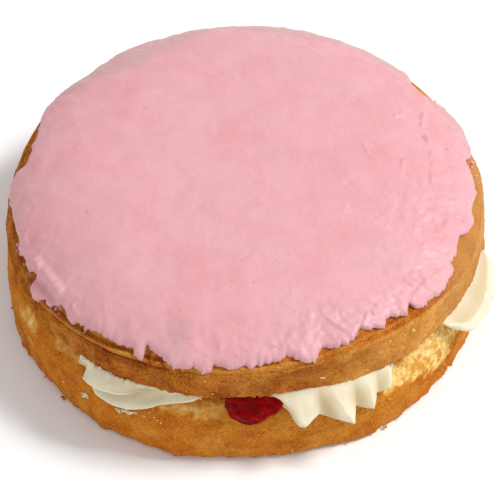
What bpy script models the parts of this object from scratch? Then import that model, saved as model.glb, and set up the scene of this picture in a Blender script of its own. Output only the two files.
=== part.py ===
"""Victoria sponge cake: two sponges with jam and piped cream between them, iced pink.

Every layer is a closed solid turned about the cake's upright axis, with a section that
changes with the angle. Angles are in degrees: 0 is the right, -90 the front.
Lengths are in millimetres up to the mesh, which is in metres.
The origin is the middle of the cake's underside, and +Z is up.
"""
import math

import bpy
import numpy as np

MM = 0.001
GAP = 0.3                    # between pieces that touch

# Lower sponge
LOWER_RADIUS = 103.2
LOWER_HEIGHT = 33.5
SHOULDER_START = 89.0        # radius where the rounded top edge begins
SHOULDER_DROP = 15.0
FOOT_ROUND = 3.0

# Upper sponge
DOME_HEIGHT = 64.0
DOME_RADIUS = 99.5           # out to the crease between the top skin and the side
ROOF_HEIGHT = 40.0           # its underside over the filling
RIM_ROUND = 4.0

# Filling and icing
JAM_THICK = 1.8
JAM_RADIUS = 80.0
CREAM_RADIUS = 92.0
SQUEEZED_RADIUS = 94.0       # where filling that presses out leaves the gap
ICING_THICK = 2.4

# How each outline wanders round the cake, as (degrees, millimetres)
FOOT_WANDER = ((-170, -1.8), (-152, -0.2), (-120, 1.3), (-107, 1.6), (-92, -1.0), (-76, -1.3),
               (-60, 0.9), (-40, -0.2), (-10, 0.0), (60, -0.5), (130, 0.2), (175, -1.0))
CREASE_HEIGHT = ((-165, 41.0), (-150, 41.0), (-137, 44.0), (-125, 46.5), (-114, 49.0), (-100, 51.0),
                 (-85, 53.5), (-74, 56.0), (-62, 59.0), (-50, 57.5), (-40, 55.5), (-30, 52.0),
                 (-20, 49.5), (0, 48.5), (40, 48.0), (90, 48.5), (140, 47.0), (180, 43.5))
RIM_HEIGHT = ((-160, 34.2), (-148, 34.6), (-135, 35.0), (-120, 35.2), (-105, 36.8), (-95, 38.4),
              (-84, 39.2), (-74, 38.6), (-64, 37.2), (-54, 35.8), (-40, 36.4), (-28, 35.6), (0, 35.2),
              (90, 35.0))
SKIN_FOLD = ((-170, 0.9), (-96, 0.9), (-78, 0.25), (20, 0.3), (70, 0.9), (120, 0.5))
UPPER_RADIUS = ((-165, 101.3), (-140, 101.2), (-122, 101.4), (-108, 100.8), (-97, 99.4), (-85, 98.0),
                (-76, 98.2), (-62, 100.0), (-50, 101.0), (-38, 100.2), (-22, 101.4), (20, 101.2),
                (70, 100.6), (95, 101.4), (125, 100.2), (160, 101.0))
ICING_RADIUS = ((-165, 96.2), (-150, 96.2), (-132, 96.2), (-120, 96.0), (-100, 97.0), (-80, 95.6),
                (-60, 95.4), (-38, 97.4), (-20, 93.6), (-5, 95.6), (25, 97.2), (90, 98.2), (140, 98.2),
                (170, 97.6))

# Lobes, tongues and notches of the icing's edge, as (degrees, half width, millimetres)
ICING_LOBES = ((-171, 5, -1.6), (-152.5, 2.5, -2.2), (-149.5, 3, 2.4), (-141.5, 2.5, -1.0),
               (-135, 3, 0.8), (-128, 3, -0.7), (-115, 3, 2.8), (-112.5, 2, -1.8), (-106, 4, 1.2),
               (-99.5, 3, 2.0), (-93, 3, 0.6), (-80.5, 3, -1.4), (-75, 3.5, 3.4), (-71, 2, -1.6),
               (-66, 4, 1.8), (-62, 2, -2.0), (-56.5, 3, 1.8), (-53, 2.5, -1.6), (-49.5, 2.5, 1.2),
               (-47, 1.8, -2.6), (-43, 4, 1.2), (-29, 2, -2.2), (-13, 3, 1.8), (-8, 2.5, -1.0),
               (8, 4, -1.0), (38, 6, -1.8), (60, 8, 0.8), (100, 9, -0.8), (134, 6, -1.6), (158, 6, -1.2))

# Where jam and cream press out, as (first degree, last degree).
# The hidden back repeats each of them, mirrored: what shows at turn - degree shows there too.
JAM_BLOB = (-97, -81.5)
JAM_TURN = -34
LEFT_FLAPS = (-131, -99)
FLAPS_TURN = 5
FRONT_SHELL = (-80.5, -51)
SHELL_TURN = 15
RIGHT_LOBE = (-36, -6)
LOBE_TURN = 8

# Crests of the front shell, as (degrees under the rim, degrees at the tip, height, half width)
FRONT_CRESTS = ((-80.5, -76.6, 7.5, 4.6), (-70.5, -65.9, 10.0, 5.6), (-63.0, -60.9, 6.5, 3.4),
                (-57.0, -55.6, 4.5, 3.8))
BULGE_TURNS = (80, 45, 18, 2, -8, -17, -25, -33, -42, -56, -80)   # degrees round the middle of a bulge


def around(deg, knots):
    """A value that eases from one (degrees, value) knot to the next, all the way round."""
    at = np.array([k[0] for k in knots] + [knots[0][0] + 360.0])
    value = np.array([k[1] for k in knots] + [knots[0][1]])
    deg = (np.asarray(deg, float) - at[0]) % 360.0 + at[0]
    i = np.clip(np.searchsorted(at, deg, side="right") - 1, 0, len(at) - 2)
    t = (deg - at[i]) / (at[i + 1] - at[i])
    t = t * t * (3.0 - 2.0 * t)
    return value[i] + (value[i + 1] - value[i]) * t


def bump(x, middle, half):
    """A rounded bump of height 1 at the middle, and 0 beyond the half width."""
    t = np.clip(np.abs(np.asarray(x, float) - middle) / half, 0.0, 1.0)
    return 0.5 + 0.5 * np.cos(math.pi * t)


def inside(deg, span, soft):
    """1 within a span of degrees, easing to 0 at its two ends."""
    t = np.clip(np.minimum(deg - span[0], span[1] - deg) / soft, 0.0, 1.0)
    return t * t * (3.0 - 2.0 * t)


def quarter(t):
    """The height of a quarter circle, 1 at t = 0 and 0 at t = 1."""
    return np.sqrt(np.clip(1.0 - np.clip(t, 0.0, 1.0) ** 2, 0.0, 1.0))


def turned(deg):
    """Degrees brought into -180 to 180."""
    return (np.asarray(deg, float) + 180.0) % 360.0 - 180.0


def lower_radius(deg):
    return LOWER_RADIUS + around(deg, FOOT_WANDER)


def lower_top(r, deg):
    """Height of the lower sponge's top: flat, with a big rounded shoulder."""
    edge = lower_radius(deg)
    return LOWER_HEIGHT - SHOULDER_DROP * (1.0 - quarter((r - SHOULDER_START) / (edge - SHOULDER_START)))


def dome(r, deg):
    """Height of the upper sponge's top, from its middle down to the crease."""
    crease = around(deg, CREASE_HEIGHT)
    t = np.clip(r / DOME_RADIUS, 0.0, 1.0)
    return crease + (DOME_HEIGHT - crease) * np.clip(1.0 - t ** 5.0, 0.0, 1.0) ** 0.8


def dome_offset(r, deg, away):
    """A point that lies a distance away from the dome, along its normal."""
    step = 0.05
    slope = (dome(r + step, deg) - dome(r - step, deg)) / (2.0 * step)
    length = np.sqrt(1.0 + slope ** 2)
    return r - away * slope / length, dome(r, deg) + away / length


def ceiling(r, deg):
    """Height of the upper sponge's underside: it comes down from the filling to the rim."""
    rim = around(deg, RIM_HEIGHT)
    t = np.clip((r - 88.0) / 9.0, 0.0, 1.0)
    return ROOF_HEIGHT + (rim - ROOF_HEIGHT) * t * t * (3.0 - 2.0 * t)


def icing_edge(deg):
    """Radius of the icing's ragged outer edge."""
    deg = turned(deg)
    edge = around(deg, ICING_RADIUS)
    for middle, half, reach in ICING_LOBES:
        edge = edge + reach * bump(deg, middle, half)
    return edge


def bed(r, deg, clear):
    """Lowest height for filling on the lower sponge, or far below outside it."""
    edge = lower_radius(deg) + clear
    return np.where(r < edge, lower_top(np.minimum(r - clear, edge), deg) + clear, -99.0)


def cover(r, deg, clear):
    """Greatest height for filling: under the upper sponge, then rising outside its rim."""
    return ceiling(r + clear, deg) - clear + 0.4 * np.maximum(r - around(deg, UPPER_RADIUS), 0.0)


def squeezed(middle_r, floor, reach, deg, clear):
    """Rings of filling round a middle in the gap: it reaches out, and lies against both sponges."""
    low = np.maximum(bed(middle_r, deg, clear), floor)
    high = cover(middle_r, deg, clear)
    rings = []
    for angle in BULGE_TURNS:
        far = np.maximum(reach(deg, angle), 0.42 * (high - low))
        r = middle_r + far * math.cos(math.radians(angle))
        z = 0.5 * (low + high) + far * math.sin(math.radians(angle))
        z = np.minimum(np.maximum(z, bed(r, deg, clear)), cover(r, deg, clear))
        rings.append((r, z))
    return rings


def mirrored_too(reach, turn):
    """The reach of a bulge and of its mirrored repeat at the back."""
    def both(deg, angle):
        return np.maximum(reach(turned(deg), angle), reach(turned(turn - deg), angle))
    return both


def degrees_by_zone(zones):
    """Column angles: each zone (start, end, step) is filled evenly."""
    degs = []
    for start, end, step in zones:
        count = max(1, round((end - start) / step))
        degs.extend(start + (end - start) * i / count for i in range(count))
    return np.array(degs)


def lathe(name, degs, rings, top, bottom, material):
    """A closed solid from rings of (radius, height), one value a column, from top to bottom."""
    across = np.cos(np.radians(degs))
    along = np.sin(np.radians(degs))
    verts = [(0.0, 0.0, top * MM)]
    for r, z in rings:
        r = r + np.zeros(len(degs))
        z = z + np.zeros(len(degs))
        verts.extend(zip(r * across * MM, r * along * MM, z * MM))
    verts.append((0.0, 0.0, bottom * MM))
    columns = len(degs)
    last = len(verts) - 1
    faces = []
    for c in range(columns):
        after = (c + 1) % columns
        faces.append((0, 1 + c, 1 + after))
        for k in range(len(rings) - 1):
            upper = 1 + k * columns
            lower = upper + columns
            faces.append((upper + c, lower + c, lower + after))
            faces.append((upper + c, lower + after, upper + after))
        end = 1 + (len(rings) - 1) * columns
        faces.append((end + c, last, end + after))
    mesh = bpy.data.meshes.new(name)
    mesh.from_pydata(verts, [], faces)
    mesh.polygons.foreach_set("use_smooth", [True] * len(mesh.polygons))
    mesh.materials.append(material)
    mesh.validate()
    piece = bpy.data.objects.new(name, mesh)
    bpy.context.scene.collection.objects.link(piece)
    return piece


def plain_material(name, colour, roughness, subsurface=0.0):
    """A Principled material with its own colour and gloss."""
    material = bpy.data.materials.new(name)
    material.use_nodes = True
    shader = material.node_tree.nodes["Principled BSDF"]
    shader.inputs["Base Color"].default_value = (*colour, 1.0)
    shader.inputs["Roughness"].default_value = roughness
    shader.inputs["Metallic"].default_value = 0.0
    shader.inputs["Subsurface Weight"].default_value = subsurface
    material.diffuse_color = (*colour, 1.0)
    return material


def sponge_lower(degs):
    """The lower sponge: a flat foot, an upright side with a long fold, and a rounded shoulder."""
    edge = lower_radius(degs)
    turn = turned(degs)
    fold = 0.9 * inside(turn, (-82, -30), 12.0)
    fold_height = 12.0 + 0.1 * np.clip(turn + 78.0, 0.0, 44.0)
    rings = [(86.0, LOWER_HEIGHT)]
    for part in (0.25, 0.5, 0.7, 0.84, 0.94):
        r = SHOULDER_START + (edge - SHOULDER_START) * part
        rings.append((r, lower_top(r, degs)))
    rings.append((edge, np.full(len(degs), LOWER_HEIGHT - SHOULDER_DROP)))
    rings.append((edge + fold, fold_height - 2.0))
    rings.append((edge, 7.0))
    rings.append((edge - 0.4, FOOT_ROUND * 0.6))
    rings.append((edge - FOOT_ROUND, 0.0))
    colour = plain_material("sponge_lower", (0.46, 0.19, 0.035), 0.85)
    return lathe("sponge_lower", degs, rings, LOWER_HEIGHT, 0.0, colour)


def sponge_upper(degs, shares):
    """The upper sponge: a domed skin, the crease under its edge, a grainy side and a round rim."""
    covered = icing_edge(degs)
    crease = around(degs, CREASE_HEIGHT)
    edge = around(degs, UPPER_RADIUS)
    rim = around(degs, RIM_HEIGHT)
    rings = [(share * covered, dome(share * covered, degs)) for share in shares]
    lip_radius = DOME_RADIUS + 0.3
    bare = lip_radius - covered
    depth = around(degs, SKIN_FOLD) * np.clip(bare / 3.0, 0.0, 1.0)
    for share, groove in ((0.3, 0.0), (0.62, 1.0)):
        r = covered + share * bare
        rings.append((r, dome(r, degs) - groove * depth))
    rings.append((lip_radius, crease + 0.8))
    rings.append((DOME_RADIUS - 0.7, crease - 0.4))
    rings.append((np.minimum(edge, DOME_RADIUS + 0.6), crease - 1.8))
    rings.append((edge, 0.45 * crease + 0.55 * (rim + RIM_ROUND)))
    rings.append((edge - 0.1, rim + RIM_ROUND * 0.8))
    rings.append((edge - RIM_ROUND * 0.35, rim + RIM_ROUND * 0.24))
    rings.append((edge - RIM_ROUND, rim))
    rings += [(r, ceiling(r, degs)) for r in (93.8, 91.0, 88.0)]
    colour = plain_material("sponge_upper", (0.42, 0.16, 0.03), 0.6)
    return lathe("sponge_upper", degs, rings, DOME_HEIGHT, ROOF_HEIGHT, colour)


def icing(degs, shares):
    """Poured icing: it follows the dome, with a rounded, ragged edge and a soft swell."""
    covered = icing_edge(degs)
    across = np.cos(np.radians(degs))
    along = np.sin(np.radians(degs))
    rings = []
    for share in shares:
        r = share * covered
        x, y = r * across, r * along
        swell = 0.35 * np.sin(x / 17.0 + 0.6) * np.cos(y / 21.0) + 0.25 * np.sin((x + y) / 11.0)
        thick = (ICING_THICK + swell) * (0.62 if share == 1.0 else 1.0)
        rings.append(dome_offset(r, degs, GAP + thick))
    r, z = dome_offset(covered, degs, GAP + 0.35 * ICING_THICK)
    rings.append((r + 0.7, z - 0.3))
    for share in reversed(shares):
        rings.append(dome_offset(share * covered, degs, GAP))
    colour = plain_material("icing", (0.86, 0.47, 0.52), 0.42, 0.05)
    return lathe("icing", degs, rings, DOME_HEIGHT + GAP + ICING_THICK, DOME_HEIGHT + GAP, colour)


def blob_reach(deg, angle):
    """The jam's blob, which sags over the lower sponge's shoulder."""
    size = inside(deg, JAM_BLOB, 5.5) * (0.86 + 0.14 * bump(deg, -89.5, 5.0))
    return size * (8.0 + 4.0 * bump(angle, -38.0, 40.0))


def jam_layer(degs):
    """The jam: a thin disc on the lower sponge, with one blob that sags out at the front."""
    reach = mirrored_too(blob_reach, JAM_TURN)
    out = np.clip(reach(degs, -38) / 3.0, 0.0, 1.0)
    floor = LOWER_HEIGHT + GAP
    middle_r = JAM_RADIUS + (SQUEEZED_RADIUS - JAM_RADIUS) * out
    blob = squeezed(middle_r, 0.0, reach, degs, GAP + 0.6)
    rings = [(72.0, floor + JAM_THICK)]
    for angle, (r, z) in zip(BULGE_TURNS, blob):
        disc_r = JAM_RADIUS + 0.5 * JAM_THICK * math.cos(math.radians(angle))
        disc_z = floor + 0.5 * JAM_THICK * (1.0 + math.sin(math.radians(angle)))
        r = disc_r + (r - disc_r) * out
        z = disc_z + (z - disc_z) * out
        rings.append((r, np.maximum(z, bed(r, degs, GAP + 0.3 * out))))
    inner = JAM_RADIUS - 1.5 + 12.0 * out
    rings.append((inner, bed(inner, degs, GAP + 0.5 * out)))
    rings.append((72.0, floor))
    colour = plain_material("jam_layer", (0.17, 0.002, 0.001), 0.12, 0.1)
    return lathe("jam_layer", degs, rings, floor + JAM_THICK, floor, colour)


def flap_reach(deg, angle):
    """The two stacked flaps at the left: an upper and a lower lip with a groove between."""
    upper = 11.6 * around(deg, ((-180, 0), (-131, 0), (-127, 1), (-121, 1), (-109, 0.12), (-101, 0)))
    lower = 14.8 * around(deg, ((-180, 0), (-128, 0), (-124, 0.95), (-116, 1), (-107, 0.5), (-99, 0)))
    groove = 0.72 * np.minimum(upper, lower)
    reach = np.maximum(upper * bump(angle, -4.0, 42.0), lower * bump(angle, -33.0, 34.0))
    return np.maximum(reach, groove * bump(angle, -17.0, 60.0))


def shell_reach(deg, angle):
    """The front shell: a body with four slanting, sharp crests."""
    body = 9.0 * inside(deg, FRONT_SHELL, 5.0) * (0.55 + 0.45 * bump(angle, -28.0, 60.0))
    fall = np.clip((40.0 - angle) / 75.0, 0.0, 1.0)
    crests = 0.0
    for under, tip, height, half in FRONT_CRESTS:
        line = under + (tip - under) * fall
        crests = crests + height * (0.35 + 0.65 * fall) * np.clip(1.0 - np.abs(deg - line) / half, 0, 1)
    return body + crests * inside(deg, FRONT_SHELL, 2.0) * bump(angle, -22.0, 70.0)


def lobe_reach(deg, angle):
    """The big smooth lobe at the right: a thick outer lip round a shallow hollow."""
    size = around(deg, ((-180, 0), (-36, 0), (-31, 0.92), (-25, 1.0), (-16, 0.86), (-9, 0.6), (-4, 0)))
    return size * (9.8 * bump(angle, 12.0, 95.0) + 10.2 * bump(angle, -22.0, 42.0))


def cream_reach(deg, angle):
    """How far the cream reaches out, at the front and at the hidden back."""
    flaps = mirrored_too(flap_reach, FLAPS_TURN)(deg, angle)
    shell = mirrored_too(shell_reach, SHELL_TURN)(deg, angle)
    lobe = mirrored_too(lobe_reach, LOBE_TURN)(deg, angle)
    return flaps + shell + lobe


def jam_way(deg):
    """1 where the cream keeps back to let the jam out, easing to 0 beside it."""
    return inside(deg, (JAM_BLOB[0] - 3.0, JAM_BLOB[1] + 2.6), 2.2)


def cream_filling(degs):
    """The cream: a disc over the jam, pressed out in flaps, a ridged shell and a lobe."""
    out = np.clip(cream_reach(degs, -25) / 3.0, 0.0, 1.0)
    jam = np.maximum(jam_way(turned(degs)), jam_way(turned(JAM_TURN - degs)))
    middle_r = CREAM_RADIUS + (SQUEEZED_RADIUS - CREAM_RADIUS) * out - (CREAM_RADIUS - 70.0) * jam
    under = LOWER_HEIGHT + 2.0 * GAP + JAM_THICK
    over = ROOF_HEIGHT - GAP
    floor = np.where(jam > 0.0, under, 0.0)
    rings = [(45.0, over), (middle_r - 7.0, over)]
    rings += squeezed(middle_r, floor, cream_reach, degs, GAP + 0.4)
    rings += [(middle_r - 7.0, under), (45.0, under)]
    colour = plain_material("cream_filling", (0.86, 0.77, 0.55), 0.5, 0.1)
    return lathe("cream_filling", degs, rings, over, under, colour)


def main():
    for old in list(bpy.data.objects):
        bpy.data.objects.remove(old, do_unlink=True)
    top_degs = degrees_by_zone(((-140, -40, 2.0), (-40, 10, 3.1), (10, 150, 5.0), (150, 220, 3.5)))
    low_degs = degrees_by_zone(((-140, -20, 4.0), (-20, 220, 6.0)))
    back_jam = (JAM_TURN - JAM_BLOB[1], JAM_TURN - JAM_BLOB[0])
    jam_degs = degrees_by_zone(((*JAM_BLOB, 1.5), (JAM_BLOB[1], back_jam[0], 8.0), (*back_jam, 1.3),
                                (back_jam[1], JAM_BLOB[0] + 360, 8.0)))
    cream_degs = degrees_by_zone(((-132, -102, 2.0), (-102, -76, 1.3), (-76, -50, 1.7), (-50, -38, 4.0),
                                  (-38, -4, 2.5), (-4, 16, 5.0), (16, 44, 3.1), (44, 68, 1.4),
                                  (68, 100, 2.4), (100, 137, 3.0), (137, 228, 6.5)))
    shares = (0.3, 0.55, 0.75, 0.88, 0.95, 1.0)
    sponge_lower(low_degs)
    jam_layer(jam_degs)
    cream_filling(cream_degs)
    sponge_upper(top_degs, shares)
    icing(top_degs, shares)


main()
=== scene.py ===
import math

import bpy
import numpy as np
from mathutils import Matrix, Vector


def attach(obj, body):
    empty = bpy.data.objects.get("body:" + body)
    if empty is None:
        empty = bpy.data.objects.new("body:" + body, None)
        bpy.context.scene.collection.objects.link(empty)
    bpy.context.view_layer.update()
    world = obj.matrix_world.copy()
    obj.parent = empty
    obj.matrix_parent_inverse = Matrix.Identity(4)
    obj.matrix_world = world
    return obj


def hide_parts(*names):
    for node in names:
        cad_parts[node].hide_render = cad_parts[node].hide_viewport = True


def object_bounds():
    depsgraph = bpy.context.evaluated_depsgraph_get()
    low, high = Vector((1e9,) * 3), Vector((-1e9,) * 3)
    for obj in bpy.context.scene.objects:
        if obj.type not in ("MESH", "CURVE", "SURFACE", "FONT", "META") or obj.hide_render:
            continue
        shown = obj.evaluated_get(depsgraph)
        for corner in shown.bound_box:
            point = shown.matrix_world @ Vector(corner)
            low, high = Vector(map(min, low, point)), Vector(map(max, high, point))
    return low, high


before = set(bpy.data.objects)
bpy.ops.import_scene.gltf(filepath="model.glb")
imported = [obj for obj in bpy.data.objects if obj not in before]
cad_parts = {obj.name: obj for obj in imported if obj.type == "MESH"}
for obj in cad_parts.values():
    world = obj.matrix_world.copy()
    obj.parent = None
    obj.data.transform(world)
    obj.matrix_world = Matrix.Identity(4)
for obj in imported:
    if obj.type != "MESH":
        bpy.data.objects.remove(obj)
CAD_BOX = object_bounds()

# Victoria sponge cake. Every layer is built again, finely, on the shape of its CAD solid.
# Angles are in degrees: 0 is the right, -90 the front. Lengths are in millimetres up to each mesh.
MM = 0.001
GAP = 0.3

# Lower sponge
LOWER_RADIUS = 103.2
LOWER_HEIGHT = 33.5
SHOULDER_START = 89.0
SHOULDER_DROP = 15.0
FOOT_ROUND = 3.0

# Upper sponge
DOME_HEIGHT = 64.0
DOME_RADIUS = 99.5
DOME_POWER = 5.0             # flat in the middle and steep at the crease
DOME_SWELL = 0.8             # power that fills out the slope
SKIN_START = 87.0            # where the skin's finer rings start
ROOF_HEIGHT = 40.0
ROOF_START = 88.0            # where the underside starts to come down to the rim
ROOF_RUN = 9.0               # how far out it takes to come down
SIDE_DEGREE = 1.75           # length of one degree along the side
RIM_ROUND = 4.0

# Filling and icing
JAM_THICK = 1.8
JAM_RADIUS = 80.0
CREAM_RADIUS = 92.0
CREAM_ROOT = 84.0            # where a lobe of cream starts, inside the gap
CREAM_ROOF = ROOF_HEIGHT - GAP
CREAM_BED = LOWER_HEIGHT + 2.2
ICING_THICK = 2.4

# Fineness of the meshes
SPONGE_COLUMNS = 1080
DISC_RINGS = 116             # of the icing's inner disc: ring k has 6 k points
DISC_RADIUS = 85.0
BAND_ROWS = 24               # of its finer outer band
CREAM_ROWS = 96
CREAM_POINTS = 17            # in each section of the cream
JAM_ROWS = 110

# Light and camera, in metres, watts and degrees
KEY_PLACE = (1.35, 0.10, 1.8)
KEY_POWER = 38.0
FILL_PLACE = (-0.75, -1.1, 0.55)
FILL_POWER = 1.4
SURROUND = 0.59
FLOOR_WHITE = 0.95
CAMERA_AWAY = 0.840
CAMERA_UP = 50.0
CAMERA_TILT = 40.52
CAMERA_RIGHT = 0.0021
LENS = 137.16

# How each outline wanders round the cake, as (degrees, millimetres)
FOOT_WANDER = (
    (-180, -1.0), (-168, 0.4), (-152, 1.0), (-140, 0.8), (-120, 1.3), (-107, 1.6), (-92, -1.0),
    (-76, -1.3), (-60, 0.9), (-40, -0.2), (-10, 0.0), (60, -0.5), (130, 0.2), (175, -1.0))
CREASE_HEIGHT = (
    (-165, 41.0), (-150, 41.0), (-137, 44.0), (-125, 46.5), (-114, 49.0), (-100, 51.0), (-85, 53.5),
    (-74, 56.0), (-62, 59.0), (-50, 57.5), (-40, 55.5), (-30, 52.0), (-20, 49.5), (0, 48.5), (40, 48.0),
    (90, 48.5), (140, 47.0), (180, 43.5))
RIM_HEIGHT = (
    (-160, 34.2), (-148, 34.6), (-135, 34.6), (-120, 34.7), (-109, 36.2), (-101, 35.4), (-93, 36.8),
    (-84, 36.8), (-77, 36.8), (-71, 36.4), (-64, 36.5), (-54, 35.4), (-40, 35.8), (-28, 34.8), (0, 35.0),
    (90, 35.0))
UPPER_RADIUS = (
    (-165, 101.3), (-140, 101.2), (-122, 101.4), (-108, 100.8), (-97, 99.8), (-85, 98.6), (-76, 98.6),
    (-62, 100.0), (-50, 101.0), (-38, 100.2), (-22, 101.4), (0, 101.7), (12, 102.6), (22, 102.3),
    (38, 101.6), (70, 100.6), (95, 101.4), (125, 100.2), (160, 101.0))

# The icing's ragged edge, as (degrees, radius)
ICING_EDGE = (
    (-180, 98.5), (-175, 97.3), (-170, 96.0), (-164.5, 95.7), (-162, 96.7), (-159, 95.9), (-155.5, 96.1),
    (-152.2, 94.2), (-151.7, 97.0), (-150.8, 98.8), (-149, 99.3), (-146.5, 98.6), (-145, 97.2),
    (-142.4, 98.0), (-141, 95.6), (-139.5, 95.0), (-138, 96.0), (-134.5, 97.0), (-132.3, 95.9),
    (-131, 95.6), (-130.5, 97.2), (-130, 95.6), (-127.5, 95.7), (-122, 95.6), (-119, 96.0),
    (-117.0, 95.4), (-116.8, 97.3), (-115.9, 97.9), (-114.8, 97.9), (-114.55, 97.2), (-114.35, 94.6),
    (-114.1, 93.4), (-113.5, 93.2), (-112.9, 94.4), (-112.3, 95.0), (-109.5, 95.3), (-107.8, 97.4),
    (-106, 98.2), (-101.7, 97.0), (-101.4, 98.0), (-99.6, 98.2), (-98.0, 98.0), (-97.5, 97.4),
    (-97.3, 96.2), (-95.2, 96.0), (-93.3, 97.3), (-90.4, 96.2), (-88.3, 97.7), (-87.6, 96.8),
    (-85.3, 96.0), (-82.9, 95.3), (-80, 94.4), (-78.7, 94.5), (-78.5, 96.1), (-76.9, 97.5), (-75.2, 99.0),
    (-74.1, 99.2), (-72.6, 96.2), (-71.7, 94.3), (-68.1, 96.7), (-65.7, 97.3), (-63.4, 95.7), (-62, 93.0),
    (-59.3, 95.5), (-56.1, 97.4), (-54.3, 94.6), (-52.7, 94.5), (-49.6, 97.1), (-47.7, 95.5),
    (-46.8, 94.4), (-46.5, 96.5), (-45.1, 97.9), (-40.9, 97.7), (-36.7, 98.5), (-32.8, 97.0),
    (-29.6, 96.5), (-28.7, 93.9), (-24.4, 94.1), (-23.1, 92.9), (-19.5, 91.9), (-17.9, 93.5),
    (-16.6, 94.7), (-11.8, 96.3), (-9.3, 94.3), (-6.5, 94.6), (-3.1, 96.2), (1, 95.4), (4.6, 95.0),
    (6.6, 93.6), (8.6, 94.2), (10.2, 97.0), (12, 98.3), (17, 98.7), (24, 98.7), (28, 98.0), (30, 95.6),
    (32, 93.4), (34.5, 91.8), (38, 92.4), (41, 95.6), (44, 97.6), (50, 98.2), (60, 98.4), (66, 97.0),
    (78, 96.8), (84, 98.2), (90, 98.4), (100, 97.4), (115, 98.4), (126, 98.0), (130, 95.2), (138, 94.8),
    (142, 97.2), (151, 98.2), (155, 96.8), (158, 94.8), (161, 93.4), (163.5, 92.4), (166, 93.0),
    (168.5, 91.8), (171, 92.0), (172.6, 93.2), (173.6, 96.8), (175.6, 98.4))
EDGE_TEETH = (
    (-170, 0.5), (-150, 0.8), (-120, 0.7), (-100, 1.0), (-60, 1.0), (-45, 0.8), (-30, 0.5), (10, 0.5),
    (90, 0.6))

# Where jam and cream press out, as (first degree, last degree).
# The hidden back repeats each of them, mirrored: what shows at turn - degree shows there too.
JAM_BLOB = (-95.3, -80.5)
JAM_TURN = -34
LEFT_FLAPS = (-132, -99)
FLAPS_TURN = 5
FRONT_SHELL = (-88, -52)
SHELL_TURN = 15
RIGHT_LOBE = (-37.6, -6)
LOBE_TURN = 8

LATTICE = np.random.default_rng(11).uniform(-1.0, 1.0, (32, 32, 32))
TILT = np.linalg.qr(np.random.default_rng(5).normal(size=(3, 3)))[0]


# Curves and noise


def around(deg, pairs):
    """A value that eases from one (degrees, value) pair to the next, all the way round."""
    at = np.array([pair[0] for pair in pairs] + [pairs[0][0] + 360.0])
    value = np.array([pair[1] for pair in pairs] + [pairs[0][1]])
    deg = (np.asarray(deg, float) - at[0]) % 360.0 + at[0]
    i = np.clip(np.searchsorted(at, deg, side="right") - 1, 0, len(at) - 2)
    t = (deg - at[i]) / (at[i + 1] - at[i])
    t = t * t * (3.0 - 2.0 * t)
    return value[i] + (value[i + 1] - value[i]) * t


def ease(t):
    """0 below 0, 1 above 1, and smooth between."""
    t = np.clip(t, 0.0, 1.0)
    return t * t * (3.0 - 2.0 * t)


def bump(x, middle, half):
    """A rounded bump of height 1 at the middle, and 0 beyond the half width."""
    t = np.clip(np.abs(np.asarray(x, float) - middle) / half, 0.0, 1.0)
    return 0.5 + 0.5 * np.cos(math.pi * t)


def mound(x, y, middle_x, middle_y, half):
    """A round bump of height 1 at its middle, seen from above."""
    return bump(np.hypot(x - middle_x, y - middle_y), 0.0, half)


def inside(deg, span, soft):
    """1 within a span of degrees, easing to 0 at its two ends."""
    return ease(np.minimum(deg - span[0], span[1] - deg) / soft)


def quarter(t):
    """The height of a quarter circle, 1 at t = 0 and 0 at t = 1."""
    return np.sqrt(np.clip(1.0 - np.clip(t, 0.0, 1.0) ** 2, 0.0, 1.0))


def turned(deg):
    """Degrees brought into -180 to 180."""
    return (np.asarray(deg, float) + 180.0) % 360.0 - 180.0


def flow(x, at, value):
    """A smooth curve through the points (at, value), read at x. A value may be an array."""
    at = np.asarray(at, float)
    value = np.asarray(value, float)
    slope = np.gradient(value, at, axis=0)
    i = np.clip(np.searchsorted(at, x, side="right") - 1, 0, len(at) - 2)
    step = at[i + 1] - at[i]
    t = np.clip((x - at[i]) / step, 0.0, 1.0)
    more = (1,) * (value.ndim - 1)
    t = t.reshape(t.shape + more)
    step = step.reshape(step.shape + more)
    start = (2.0 * t ** 3 - 3.0 * t ** 2 + 1.0) * value[i] + (t ** 3 - 2.0 * t ** 2 + t) * step * slope[i]
    end = (3.0 * t ** 2 - 2.0 * t ** 3) * value[i + 1] + (t ** 3 - t ** 2) * step * slope[i + 1]
    return start + end


def knots(deg, pairs):
    """A smooth value through (degrees, value) pairs, held beyond the ends."""
    at = np.array([p[0] for p in pairs], float)
    return flow(np.clip(deg, at[0], at[-1]), at, [p[1] for p in pairs])


def noise(places, size, seed=0):
    """Smooth random values, about -1 to 1, that change over one size in millimetres."""
    q = places @ TILT / size + 5.37 * seed
    cell = np.floor(q)
    f = q - cell
    f = f * f * (3.0 - 2.0 * f)
    low = cell.astype(int) % 32
    high = (low + 1) % 32
    total = 0.0
    for i in (0, 1):
        x = high[..., 0] if i else low[..., 0]
        wx = f[..., 0] if i else 1.0 - f[..., 0]
        for j in (0, 1):
            y = high[..., 1] if j else low[..., 1]
            wy = f[..., 1] if j else 1.0 - f[..., 1]
            for k in (0, 1):
                z = high[..., 2] if k else low[..., 2]
                wz = f[..., 2] if k else 1.0 - f[..., 2]
                total = total + LATTICE[x, y, z] * wx * wy * wz
    return 1.5 * total


def flat_place(r, deg):
    """The x and y of a radius and degree."""
    at = np.radians(deg)
    return r * np.cos(at), r * np.sin(at)


def level(x, y):
    """Places for noise from x and y alone."""
    return np.stack((x, y, 0.0 * x), axis=-1)


def on_circle(radius, deg):
    """Places for noise on a circle."""
    return level(*flat_place(radius, deg))


def straight(deg, pairs):
    """A value read off straight lines between (degrees, value) pairs."""
    return np.interp(deg, [pair[0] for pair in pairs], [pair[1] for pair in pairs])


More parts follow.
